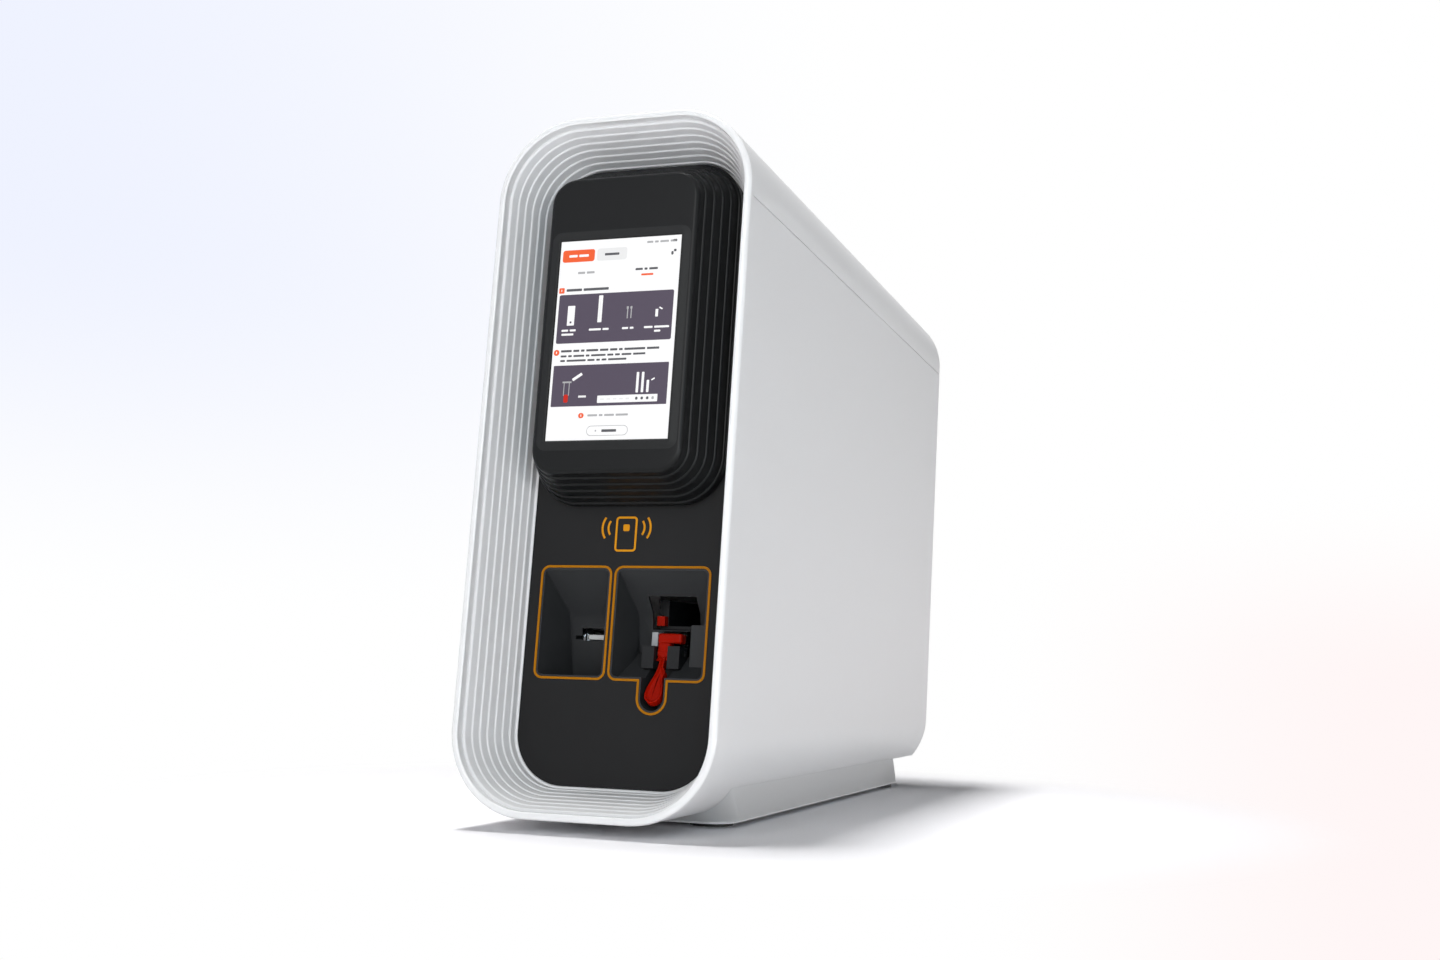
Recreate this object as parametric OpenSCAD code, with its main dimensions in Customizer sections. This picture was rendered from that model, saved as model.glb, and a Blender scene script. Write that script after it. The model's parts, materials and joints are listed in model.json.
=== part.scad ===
// Bench hematology analyzer: a leaning white casing with a stepped surround, a black front with a
// display pod and two bays, and the drives, optics and electronics that it holds.
// Millimetres, +Z up, the front faces -Y. The origin is the middle of the bounding box's bottom face.

/* [Casing] */
// Width of the casing
body_w = 170; // [164:1:190]
// Height of the casing without its base
body_h = 433; // [425:1:480]
// Depth of the casing along its underside
body_d = 515; // [500:1:580]
// Radius of the four long edges
corner_r = 52; // [44:1:58]
// Wall of the casing
wall = 3; // [2:0.1:3.4]
// Lean of the front face in degrees
front_lean = 4; // [3:0.5:5]
// Lean of the rear face in degrees
rear_lean = 3.3; // [2.5:0.1:4.5]
// Distance of the seam below the top of the casing
seam_drop = 58; // [54:1:68]
// Gap of the seam
seam_gap = 0.4; // [0.2:0.1:0.8]

/* [Front surround] */
// Width of the white rim
rim_w = 4.6; // [4.2:0.1:6]
// Depth of the white rim
rim_d = 5.6; // [4:0.1:7]
// Number of steps between rim and black panel
step_count = 8; // [7:1:9]
// Inward width of one step
step_in = 1.875; // [1.6:0.025:2]
// Depth of one step
step_deep = 5.6; // [5:0.1:6]
// Wall of the stepped bezel
bezel_wall = 1.8; // [1.2:0.1:2.2]

/* [Display pod] */
// Half width of the pod's front layer
pod_half = 50; // [48:0.5:51]
// Lower edge of the pod's front layer along the front face
pod_lo = 206.4; // [200:0.2:212]
// Upper edge of the pod's front layer
pod_hi = 395.5; // [392:0.5:397]
// Distance of the pod's front behind the rim's plane
pod_front = 4.6; // [3:0.1:7]
// Number of stepped ridges behind the front layer
pod_steps = 5; // [3:1:5]
// Sideways growth of each ridge
pod_side = 2.9; // [2:0.1:2.9]
// Downward growth of each ridge
pod_down = 2.55; // [1.5:0.05:3]
// Upward growth of each ridge
pod_up = 4; // [2:0.1:4]
// Visible width of the screen
lcd_w = 80.8; // [74:0.2:82]
// Visible height of the screen
lcd_h = 127; // [118:1:129]
// Lower edge of the screen along the front face
lcd_lo = 227; // [224:0.5:232]

/* [Bays] */
// Distance of each outer bay outline from the middle
bay_out = 57; // [55:0.5:58]
// Width of the left bay
left_bay_w = 47.7; // [46:0.1:49]
// Strip between the two bay outlines
bay_strip = 3; // [2.6:0.1:4]
// Lower edge of the bays along the front face
bay_lo = 85.8; // [84:0.2:88]
// Height of the bays
bay_h = 70; // [68:0.5:72]
// Width of the orange outline
line_w = 1.4; // [1:0.1:1.8]
// Depth of the bays behind the panel
bay_deep = 33; // [31:0.5:34]
// Middle of the finger recess
lever_x = 23.6; // [22:0.1:25]
// Half width of the finger recess
finger_r = 9.5; // [8.5:0.1:11]
// Depth of the finger recess
finger_deep = 24; // [20:1:26]

/* [Lever] */
// Width of the lever between its posts
lever_w = 8; // [6:0.5:8]
// Diameter of the lever's pin
pin_d = 3; // [2.4:0.1:3.4]
// Running clearance of shafts and pins, radial
run_fit = 0.05; // [0.03:0.01:0.09]

/* [Drives] */
// Pulley radius
pulley_r = 7; // [6:0.5:7.5]
// Belt width
belt_w = 6; // [5:0.5:7]
// Belt thickness
belt_t = 1.2; // [1:0.1:1.5]
// Side of the square motors
motor_s = 28; // [26:1:28]
// Rail width
rail_w = 9; // [7:0.5:10]
// Width of the slide tray
tray_w = 25; // [20:0.5:25.4]
// Width of the cartridge carriage
carriage_w = 31; // [26:0.5:31.5]

/* [Base] */
// Drop of the base plate below the casing
plinth_drop = 5.4; // [4:0.1:8]
// Height of the rubber feet below the base plate
foot_h = 3; // [2:0.1:5]
// Diameter of the rubber feet
foot_d = 28; // [22:1:30]
// Distance of the feet from the middle
foot_x = 42; // [38:1:44]

/* [Hidden] */
$fn = 48;
fit = 0.2;
seam_z = body_h - seam_drop;
rim_edge_r = 2.6;
rim_inner_r = 1;
front_len = body_h / cos(front_lean);
rear_len = body_h / cos(rear_lean);
body_z = foot_h + plinth_drop;
front_low = rim_edge_r * (sin(front_lean) + cos(front_lean) - 1);
front_y = -(body_d + body_h * tan(rear_lean) + front_low) / 2;
panel_d = step_count * step_deep;
panel_inset = rim_w + step_count * step_in;
panel_t = 3;
panel_back = panel_d + panel_t;
pod_layer = (panel_d - pod_front) / (pod_steps + 1);
pod_r = 16;
glass_t = 1.1;
glass_w = lcd_w + 5;
glass_h = lcd_h + 6;
lcd_mid = lcd_lo + lcd_h / 2;
bay_hi = bay_lo + bay_h;
bay_r = 5;
bay_wall = 1.1;
left_x0 = -bay_out;
left_x1 = -bay_out + left_bay_w;
right_x0 = left_x1 + bay_strip;
right_x1 = bay_out;
liner_in = line_w / 2 + 0.1;
cavity_in = liner_in + bay_wall;
finger_lo = bay_lo - 20.3 + finger_r;
pivot_s = bay_lo + 18;
pivot_d = panel_d + 17;
post_front = panel_d + 9;
post_back = pivot_d + 4;
post_lo = bay_lo + 8.2;
post_hi = pivot_s + 4.2;
post_w = 8;
deck_z = 92;
deck_t = 4;
rail_h = 6;
block_z = deck_z + 2;
block_h = 10;
tray_z = 107.3;
tray_t = 3;
tray_x = -25.75;
tray_y = 80;
tray_len = 110;
slot_x0 = tray_x - 13.75;
slot_x1 = tray_x + 13.75;
carriage_x = 27.2;
carriage_z = 115;
carriage_y = 85;
carriage_len = 115;
carriage_h = 18.5;
block_y = 150;
block_len = 40;
belt_x = 49;
axle_z = 106;
idler_y = 100;
tray_drive_y = 290;
cart_drive_y = 320;
deck_y0 = 94;
deck_y1 = 345;
flange_r = pulley_r + belt_t + 1;
pulley_w = belt_w + 0.8;
shaft_d = 5;
idler_d = 4;
optic_y = 215;
focus_y = 258;
pip_y = 250;
pip_col_y = 296;
pip_belt_y = pip_col_y + 8 + motor_s / 2;
pip_top_z = 320;
pip_low_z = 150;
chassis_z = 24;
chassis_t = 2;
rear_in = 8;
rear_t = 1.5;
fan_s = 80;
fan_t = 25;
fan_z = 300;
lug_z = [90, 330];
rear_vents_z = [150, 160, 170, 180, 190, 200, 210, 220, 230, 240];
inlet_x = body_w / 2 - 43;
switch_x = 8;
mains_z = 62;
ports_z = 112;
plinth_top_z = 20.8;
plinth_top_x = 74.5;
plinth_low_x = 63;
plinth_y_top = [43, body_d - 74];
plinth_y_low = [84, body_d - 15];
plinth_rear_r = 4;
foot_places = [[foot_x, 110], [foot_x + 7, body_d - 35]];
heel_y = body_d - 84;
heel_z = 18.8;
heel_t = 2;
block_x = 40.5;
bay_block_h = 36;
bay_block_d = 15;
sensor_w = 4.2;
supply_w = 104;
supply_l = 120;
supply_y = body_d - 163;

// Places children in the casing's own frame: its front lower edge is y = 0, its underside z = 0
module in_body() translate([0, front_y, body_z]) children();

// Places children on the front face: x across, y up the slope, z outward from the rim's plane
module in_front() in_body() rotate([90 - front_lean, 0, 0]) children();

// Places children on the rear face: x across, y up the slope, z inward from the rear edge's plane
module in_rear() in_body() translate([0, body_d, 0]) rotate([90 - rear_lean, 0, 0]) children();

module round_rect(w, h, r) {
    square([w - 2 * r, h], center=true);
    square([w, h - 2 * r], center=true);
    for (x = [-1, 1], y = [-1, 1])
        translate([x * (w / 2 - r), y * (h / 2 - r)]) circle(r);
}

// Rounded rectangle between two corners
module round_span(x0, y0, x1, y1, r)
    translate([(x0 + x1) / 2, (y0 + y1) / 2]) round_rect(x1 - x0, y1 - y0, r);

module box(x0, x1, y0, y1, z0, z1)
    translate([x0, y0, z0]) cube([x1 - x0, y1 - y0, z1 - z0]);

// Extrudes an outline drawn on the front face from depth d0 to depth d1
module slab(d0, d1) translate([0, 0, -d1]) linear_extrude(d1 - d0) children();

// Outline of the casing on its leaning front face, moved inward by inset
module front_outline(inset)
    round_span(-body_w / 2 + inset, inset, body_w / 2 - inset, front_len - inset, corner_r - inset);

// Sweeps a profile round a rounded rectangle: its x points outward from the path, its y out of the face
module sweep_round(w, h, r) {
    lap = 0.005;
    runs = [[0, w / 2, h - 2 * r], [90, h / 2, w - 2 * r], [180, w / 2, h - 2 * r], [270, h / 2, w - 2 * r]];
    for (run = runs)
        rotate([0, 0, run[0]])
            translate([run[1], run[2] / 2 + lap, 0]) rotate([90, 0, 0])
                linear_extrude(run[2] + 2 * lap) children();
    corners = [[1, 1, 0], [-1, 1, 90], [-1, -1, 180], [1, -1, 270]];
    for (c = corners)
        translate([c[0] * (w / 2 - r), c[1] * (h / 2 - r), 0]) rotate([0, 0, c[2]])
            rotate_extrude(angle=90) translate([r, 0]) children();
}

// Side view of the casing between its leaning ends, shortened by front_gap and rear_gap
module side_prism(front_gap, rear_gap)
    rotate([90, 0, 90]) linear_extrude(body_w + 2, center=true) polygon([
        [front_gap / cos(front_lean) - tan(front_lean), -1],
        [body_d - rear_gap / cos(rear_lean) - tan(rear_lean), -1],
        [body_d - rear_gap / cos(rear_lean) + (body_h + 1) * tan(rear_lean), body_h + 1],
        [front_gap / cos(front_lean) + (body_h + 1) * tan(front_lean), body_h + 1]]);

// The casing's section drawn out along the depth
module tube(inset)
    translate([0, body_d + 60, 0]) rotate([90, 0, 0]) linear_extrude(body_d + 90)
        translate([0, body_h / 2]) round_rect(body_w - 2 * inset, body_h - 2 * inset, corner_r - inset);

module shell(outer, inner, z0, z1)
    intersection() {
        difference() {
            tube(outer);
            tube(inner);
        }
        side_prism(rim_d + fit, 0);
        box(-body_w, body_w, -60, body_d + 60, z0, z1);
    }

module lower_shell() color("gainsboro") in_body() {
    difference() {
        shell(0, wall, -1, seam_z - seam_gap / 2);
        heel(heel_y, heel_z);
    }
    intersection() {
        tube(wall - 0.5);
        side_prism(rim_d + fit, 0);
        union() {
            box(-body_w, body_w, heel_y - heel_t, body_d + 60, heel_z, heel_z + heel_t);
            box(-body_w, body_w, heel_y - heel_t, heel_y, 0, heel_z + heel_t);
        }
    }
    intersection() {
        union() {
            shell(wall - 0.5, wall + 1.5, seam_z - 8, seam_z - 1);
            shell(wall + fit, wall + 1.5, seam_z - 2, seam_z + 5);
        }
        box(-body_w, body_w, 80, body_d - 20, 0, body_h);
    }
    lugs();
}

// Space under the raised rear of the casing
module heel(y, z) box(-body_w, body_w, y, body_d + 60, -2, z);

// Lugs inside the side walls that the rear panel is screwed to
module lugs()
    for (side = [-1, 1], z = lug_z)
        difference() {
            translate([side * (body_w / 2 - wall - 3.5), lug_y(z), z]) cube([8, 14, 14], center=true);
            translate([0, body_d, 0]) rotate([90 - rear_lean, 0, 0])
                screw_place(side, z) cylinder(d=3.4, h=60, center=true);
        }

function lug_y(z) = body_d + z * tan(rear_lean) - (rear_in + rear_t) / cos(rear_lean) - 8;

module top_cover() color("whitesmoke") in_body()
    shell(0, wall, seam_z + seam_gap / 2, body_h + 1);

// White rim with a rounded outer edge
module rim_profile() {
    difference() {
        translate([-rim_w, -rim_d]) square([rim_w, rim_d]);
        translate([-rim_edge_r, -rim_edge_r]) square(rim_edge_r + 1);
        translate([-rim_w - 1, -rim_inner_r]) square([1 + rim_inner_r, rim_inner_r + 1]);
    }
    intersection() {
        translate([-rim_edge_r, -rim_edge_r]) circle(rim_edge_r);
        translate([-rim_edge_r, -rim_edge_r]) square(rim_edge_r);
    }
    intersection() {
        translate([-rim_w + rim_inner_r, -rim_inner_r]) circle(rim_inner_r);
        translate([-rim_w, -rim_inner_r]) square(rim_inner_r);
    }
}

module front_rim() color("white") in_front() translate([0, front_len / 2, 0])
    sweep_round(body_w, front_len, corner_r) rim_profile();

// Points of a rounded nose at (x, y), turning from the tread down into the next riser
nose_r = 0.9;
function nose(x, y) = [for (a = [90:30:180]) [x + nose_r + nose_r * cos(a), y - nose_r + nose_r * sin(a)]];
function step_x(k) = -rim_w - k * step_in;
function step_y(k) = k == 1 ? -rim_d - fit : -k * step_deep;

module bezel_profile() {
    inner = [for (k = [1:step_count]) each k < step_count
        ? concat(nose(step_x(k), step_y(k)), [[step_x(k), step_y(k + 1)]])
        : nose(step_x(k), step_y(k))];
    outer = [for (k = [step_count:-1:1]) each k == step_count
        ? [[step_x(k), step_y(k) - bezel_wall - 1]]
        : [[step_x(k) + bezel_wall, step_y(k + 1) - bezel_wall],
            [step_x(k) + bezel_wall, step_y(k) - bezel_wall]]];
    flange_x = -rim_w + 0.6;
    polygon(concat([[flange_x, step_y(1)]], inner, outer, [[flange_x, step_y(1) - bezel_wall]]));
}

module ribbed_bezel() color("lightgray") in_front() translate([0, front_len / 2, 0])
    sweep_round(body_w, front_len, corner_r) bezel_profile();

module left_outline(grow)
    round_span(left_x0 - grow, bay_lo - grow, left_x1 + grow, bay_hi + grow, bay_r + grow);

// Right bay's outline with its finger recess, moved outward by grow
module right_outline(grow) {
    round_span(right_x0 - grow, bay_lo - grow, right_x1 + grow, bay_hi + grow, bay_r + grow);
    finger_outline(grow);
}

module finger_outline(grow) {
    translate([lever_x, finger_lo]) circle(finger_r + grow);
    translate([lever_x - finger_r - grow, finger_lo])
        square([2 * (finger_r + grow), bay_lo + 20 - finger_lo]);
}

module front_panel() color("#2b2b2c") in_front() difference() {
    slab(panel_d, panel_back) front_outline(panel_inset + fit);
    slab(panel_d - 1, panel_back + 1) left_outline(line_w / 2 + 0.1);
    slab(panel_d - 1, panel_back + 1) right_outline(line_w / 2 + 0.1);
    slab(panel_d - 1, panel_back + 1)
        round_span(-34, pod_lo + 30, 34, pod_hi - 30, 8);
}

// Outline of a pod layer: 0 is the front one, each later one is a ridge further out
module pod_outline(k) {
    lo = pod_lo - k * pod_down;
    hi = pod_hi + k * pod_up;
    half = pod_half + k * pod_side;
    round_span(-half, lo, half, hi, pod_r + k * pod_side);
}

module pod_layer_at(k)
    slab(pod_front + k * pod_layer, k == pod_steps ? panel_d - 0.1 : pod_front + (k + 1) * pod_layer + 1)
        pod_outline(k);

module display_pod() color("#262728") in_front() difference() {
    union() for (k = [0:pod_steps]) pod_layer_at(k);
    slab(pod_front - 1, pod_front + 1.3) glass_outline(0.2);
    slab(pod_front, pod_front + 9) module_outline(0.3);
    slab(pod_front + 8.9, pod_front + 12) round_span(-30, lcd_lo + 15, 30, lcd_lo + lcd_h - 15, 4);
    slab(pod_front + 11.9, panel_d + 1) round_span(-42, pod_lo + 9, 42, pod_hi - 9, 6);
}

module glass_outline(grow)
    translate([0, lcd_mid]) round_rect(glass_w + 2 * grow, glass_h + 2 * grow, 2 + grow);

module module_outline(grow)
    translate([0, lcd_mid]) round_rect(glass_w - 3 + 2 * grow, glass_h - 4 + 2 * grow, 1 + grow);

// Soft raised frame round the screen
module display_frame() color("#3a3b3c") in_front()
    slab(pod_front - 0.9, pod_front - 0.05) difference() {
        translate([0, lcd_mid]) round_rect(lcd_w + 14, lcd_h + 14, 7);
        translate([0, lcd_mid]) square([lcd_w + 1, lcd_h + 1], center=true);
    }

module touch_glass() color("#101418") in_front()
    slab(pod_front + 0.1, pod_front + 0.1 + glass_t) glass_outline(0);

module lcd_module() color("silver") in_front()
    slab(pod_front + 1.4, pod_front + 6.4) module_outline(0);

module bay_outlines() color("orange") in_front() slab(panel_d - 0.3, panel_d + 1.7) {
    difference() {
        left_outline(line_w / 2);
        left_outline(-line_w / 2);
    }
    difference() {
        right_outline(line_w / 2);
        right_outline(-line_w / 2);
    }
}

// Prism across the width of a side profile given as [depth, height] points
module cross_prism(x0, x1, points)
    translate([x0, 0, 0]) rotate([0, 90, 0]) linear_extrude(x1 - x0) polygon(points);

// Prism up the face of a plan profile given as [x, depth] points
module plan_prism(s0, s1, points)
    translate([0, s1, 0]) rotate([90, 0, 0]) linear_extrude(s1 - s0)
        polygon([for (p = points) [p[0], -p[1]]]);

// Funnel of the left bay: sloping ceiling and left wall, moved outward by grow
module slide_cavity(grow, front) {
    d = panel_d;
    lo = bay_lo + cavity_in - grow;
    hi = bay_hi - cavity_in + grow;
    x0 = left_x0 + cavity_in - grow;
    x1 = left_x1 - cavity_in + grow;
    intersection() {
        cross_prism(x0 - 1, x1 + 1, [[d - 2, lo], [d - 2, hi], [d, hi],
            [d + bay_deep - 10 + grow, hi - 24.5], [d + bay_deep + grow, lo]]);
        plan_prism(lo - 1, hi + 1, [[x0, d - 2], [x0, d], [x0 + 7, d + bay_deep - 10],
            [x0 + 8, d + bay_deep + 2], [x1, d + bay_deep + 2], [x1, d - 2]]);
        slab(front, d + bay_deep + grow) round_span(x0, lo, x1, hi, bay_r - cavity_in + grow);
    }
}

module slide_bay_liner() color("#2f3031") difference() {
    in_front() difference() {
        union() {
            slide_cavity(bay_wall, panel_d + 0.05);
            slab(panel_back + 0.1, panel_back + 2) difference() {
                left_outline(0.5);
                left_outline(-liner_in - 0.5);
            }
        }
        slide_cavity(0, panel_d - 1);
    }
    in_body() {
        box(slot_x0, slot_x1, 60, 110, tray_z - 0.6, tray_z + 7.2);
        box(slot_x0 - 5, slot_x0 + 1, 60, 110, tray_z, tray_z + 2.4);
    }
}

// Funnel of the right bay: sloping ceiling, left wall and floor, moved outward by grow
module cartridge_cavity(grow, front) {
    d = panel_d;
    lo = bay_lo + cavity_in - grow;
    hi = bay_hi - cavity_in + grow;
    x0 = right_x0 + cavity_in - grow;
    x1 = right_x1 - cavity_in + grow;
    intersection() {
        cross_prism(x0 - 1, x1 + 1, [[d - 2, lo], [d - 2, hi], [d, hi],
            [d + 21 + grow, hi - 24.5], [d + 26 + grow, lo + 18], [d + 6 + grow, lo]]);
        plan_prism(lo - 1, hi + 1, [[x0, d - 2], [x0, d], [x0 + 6, d + 21],
            [x0 + 6, d + 30], [x1, d + 30], [x1, d - 2]]);
        slab(front, d + bay_deep) round_span(x0, lo, x1, hi, bay_r - cavity_in + grow);
    }
}

module cartridge_bay_liner() color("#2f3031") {
    cartridge_funnel();
    in_front() bay_block();
}

module cartridge_funnel() difference() {
    in_front() difference() {
        union() {
            cartridge_cavity(bay_wall, panel_d + 0.05);
            slab(panel_d + 0.05, panel_d + finger_deep + bay_wall) finger_outline(-liner_in);
            slab(panel_back + 0.1, panel_back + 2) difference() {
                right_outline(0.5);
                right_outline(-liner_in - 0.5);
            }
        }
        cartridge_cavity(0, panel_d - 1);
        slab(panel_d - 1, panel_d + finger_deep) finger_outline(-cavity_in);
        lever_room();
    }
    in_body() box(carriage_x - 16.2, carriage_x + 16.2, 50, 130, carriage_z - 0.7,
        carriage_z + carriage_h + 1.5);
}

// Plain block in the right bay's far corner, beside the channel
module bay_block() intersection() {
    cartridge_cavity(0.3, panel_d + 10);
    box(block_x, body_w, bay_lo, bay_lo + bay_block_h, -(panel_d + bay_deep), -(panel_d + bay_block_d));
}

// Room for the swing of the lever's head, and for the bracket with its two posts
module lever_room() {
    translate([lever_x - lever_w / 2 - 1.5, pivot_s - 4.6, -panel_d - 50]) cube([18.5, 19.4, 42]);
    lever_bracket(0.05);
}

// Bracket for the lever's pin: two posts joined by a bar behind the handle, moved outward by grow
module lever_bracket(grow) {
    for (side = [-1, 1])
        translate([lever_x + side * (lever_w / 2 + 0.5 + post_w / 2), 0, 0])
            box(-post_w / 2 - grow, post_w / 2 + grow, post_lo - grow, post_hi + grow,
                -post_back - grow, -post_front + grow);
    half = lever_w / 2 + 0.5 + post_w;
    box(lever_x - half - grow, lever_x + half + grow, post_lo + 1.8 - grow, post_lo + 5.2 + grow,
        -post_back - grow, -post_back + 2.8 + grow);
}

module lever_posts() color("#3b3c3d") in_front() difference() {
    lever_bracket(0);
    translate([lever_x, pivot_s, -pivot_d]) rotate([0, 90, 0]) cylinder(d=pin_d, h=40, center=true);
}

module lever_pin() color("silver") in_front() translate([lever_x, pivot_s, -pivot_d])
    rotate([0, 90, 0]) cylinder(d=pin_d, h=2 * (lever_w / 2 + 0.5 + post_w) - 0.4, center=true);

// Red lever: a head over the right post, a hub on the pin and a drop-shaped handle
module release_lever() color("#b01808") in_front() translate([lever_x, pivot_s, -pivot_d])
    difference() {
        union() {
            box(-lever_w / 2, lever_w / 2, 0, 6.5, -3.5, 4);
            box(-lever_w / 2, lever_w / 2 + 8, 6, 12.5, -3.5, 5);
            rotate([0, 90, 0]) cylinder(r=4, h=lever_w, center=true);
            rotate([-26, 0, 0]) lever_handle();
        }
        rotate([0, 90, 0]) cylinder(d=pin_d + 2 * run_fit, h=40, center=true);
    }

// Drop-shaped handle, drawn hanging straight down from the hub
module lever_handle() {
    handle_l = 36;
    translate([0, 0, -2.4]) linear_extrude(4.8) {
        translate([-1.6, -12]) square([3.2, 10]);
        polygon([[-1.6, -9], [1.6, -9], [5, -27], [-5, -27]]);
        translate([0, -handle_l + 6.2]) circle(5.6);
        polygon([[-5, -26.9], [5, -26.9], [5.55, -29], [-5.55, -29]]);
        polygon([[1.2, -12], [4.6, -16.5], [3, -19]]);
    }
}

// Small optical sensor beside the lever
module strip_sensor() color("#b9babb") in_front()
    box(lever_x - lever_w / 2 - sensor_w - 0.7, lever_x - lever_w / 2 - 0.7, post_hi + 0.05, post_hi + 9,
        -(pivot_d + 3), -(post_front + 5));

module slide_tray() color("whitesmoke") in_body() {
    y1 = tray_y + tray_len;
    difference() {
        translate([0, 0, tray_z]) linear_extrude(tray_t) polygon([
            [tray_x - tray_w / 2 + 3, tray_y], [tray_x + tray_w / 2 - 3, tray_y],
            [tray_x + tray_w / 2, tray_y + 4], [tray_x + tray_w / 2, y1],
            [tray_x - tray_w / 2, y1], [tray_x - tray_w / 2, tray_y + 4]]);
        box(tray_x - tray_w / 2 + 2.5, tray_x + tray_w / 2 - 2.5, tray_y + 6, tray_y + 66,
            tray_z + 1.6, tray_z + tray_t + 1);
        translate([tray_x, tray_y + 48, tray_z - 1]) cylinder(d=12, h=6);
    }
}

// Bearing block that runs on a rail, with an arm to the lower run of its belt
module bearing_block(x, side, top) {
    w = 22;
    clamp_z = axle_z - pulley_r - 0.3 - belt_t;
    difference() {
        box(x - w / 2, x + w / 2, block_y, block_y + block_len, block_z, block_z + block_h);
        box(x - rail_w / 2 - 0.3, x + rail_w / 2 + 0.3, block_y - 1, block_y + block_len + 1,
            block_z - 1, deck_z + rail_h + 0.3);
    }
    box(x - 8, x + 8, block_y, block_y + block_len, block_z + block_h - 0.01, top);
    y0 = block_y + block_len / 2 - 5;
    arm = belt_x - belt_w / 2 - 0.4;
    for (z = [clamp_z - 2.8, clamp_z + belt_t + 0.3])
        mirror([side < 0 ? 1 : 0, 0, 0]) box(arm - 3, belt_x + belt_w / 2, y0, y0 + 10, z, z + 2.5);
    mirror([side < 0 ? 1 : 0, 0, 0])
        box(abs(x) + w / 2 - 0.01, arm, y0, y0 + 10, clamp_z - 2.8, clamp_z + belt_t + 2.8);
}

module tray_block() color("slategray") in_body() bearing_block(tray_x, -1, tray_z);

module rail(x, y1) difference() {
    box(x - rail_w / 2, x + rail_w / 2, deck_y0 + 2, y1, deck_z, deck_z + rail_h);
    for (side = [-1, 1])
        translate([x + side * rail_w / 2, deck_y0, deck_z + 3.4]) rotate([-90, 0, 0])
            cylinder(r=1, h=y1 - deck_y0 + 10, $fn=24);
    for (y = [deck_y0 + 12:40:y1 - 10])
        translate([x, y, deck_z + 3]) cylinder(d=5, h=rail_h);
}

module tray_rail() color("silver") in_body() rail(tray_x, 256);

module cartridge_rail() color("silver") in_body() rail(carriage_x, 286);

// Outline of a belt loop along its run, from centre to centre
module loop_2d(run, r) {
    square([run, 2 * r], center=true);
    for (side = [-1, 1]) translate([side * run / 2, 0]) circle(r);
}

module belt(run) linear_extrude(belt_w, center=true) difference() {
    loop_2d(run, pulley_r + 0.3 + belt_t);
    loop_2d(run, pulley_r + 0.3);
}

module tray_belt() color("#202020") in_body()
    translate([-belt_x, (idler_y + tray_drive_y) / 2, axle_z]) rotate([90, 0, 90])
        belt(tray_drive_y - idler_y);

module cartridge_belt() color("#202020") in_body()
    translate([belt_x, (idler_y + cart_drive_y) / 2, axle_z]) rotate([90, 0, 90])
        belt(cart_drive_y - idler_y);

module pipette_belt() color("#202020") in_body()
    translate([belt_x, pip_belt_y, (pip_top_z + pip_low_z) / 2]) rotate([0, 90, 0])
        belt(pip_top_z - pip_low_z);

// Pulley on the X axis with two flanges; a drive pulley also has its shaft
module pulley(bore, shaft_side) {
    difference() {
        union() {
            rotate([0, 90, 0]) cylinder(r=pulley_r, h=pulley_w, center=true);
            for (side = [-1, 1])
                translate([side * (pulley_w / 2 + 0.5), 0, 0]) rotate([0, 90, 0])
                    cylinder(r=flange_r, h=1, center=true);
        }
        if (shaft_side == 0) rotate([0, 90, 0]) cylinder(d=bore + 2 * run_fit, h=30, center=true);
        for (a = [0:60:300]) if (shaft_side == 0)
            rotate([a, 0, 0]) translate([0, 0, (pulley_r + bore / 2) / 2]) rotate([0, 90, 0])
                cylinder(d=1.6, h=30, center=true, $fn=16);
    }
    if (shaft_side != 0)
        translate([shaft_side * (pulley_w / 2 + 6), 0, 0]) rotate([0, 90, 0])
            cylinder(d=shaft_d, h=14, center=true);
}

module tray_drive_pulley() color("silver") in_body()
    translate([-belt_x, tray_drive_y, axle_z]) pulley(shaft_d, 1);

module tray_idler_pulley() color("silver") in_body()
    translate([-belt_x, idler_y, axle_z]) pulley(idler_d, 0);

module cartridge_drive_pulley() color("silver") in_body()
    translate([belt_x, cart_drive_y, axle_z]) pulley(shaft_d, -1);

module cartridge_idler_pulley() color("silver") in_body()
    translate([belt_x, idler_y, axle_z]) pulley(idler_d, 0);

module pipette_drive_pulley() color("silver") in_body()
    translate([belt_x, pip_belt_y, pip_top_z]) pulley(shaft_d, -1);

module pipette_idler_pulley() color("silver") in_body()
    translate([belt_x, pip_belt_y, pip_low_z]) pulley(idler_d, 0);

// Square stepper motor on the X axis, with chamfered corners and a bore for its shaft
module motor() {
    len = 30;
    chamfer = 3;
    s = motor_s / 2;
    difference() {
        rotate([0, 90, 0]) linear_extrude(len) polygon([[-s + chamfer, -s], [s - chamfer, -s],
            [s, -s + chamfer], [s, s - chamfer], [s - chamfer, s], [-s + chamfer, s],
            [-s, s - chamfer], [-s, -s + chamfer]]);
        translate([-1, 0, 0]) rotate([0, 90, 0]) cylinder(d=shaft_d + 2 * run_fit, h=20);
        for (z = [9, 20]) translate([z, 0, 0]) rotate([0, 90, 0]) difference() {
            cylinder(r=motor_s, h=0.8);
            translate([0, 0, -1]) cylinder(r=s + 1.2, h=3);
        }
    }
}

motor_x = belt_x - pulley_w / 2 - 2;

module tray_motor() color("dimgray") in_body()
    translate([-motor_x, tray_drive_y, axle_z]) motor();

module cartridge_motor() color("dimgray") in_body()
    translate([motor_x, cart_drive_y, axle_z]) mirror([1, 0, 0]) motor();

module pipette_motor() color("dimgray") in_body()
    translate([motor_x, pip_belt_y, pip_top_z]) mirror([1, 0, 0]) motor();

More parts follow.
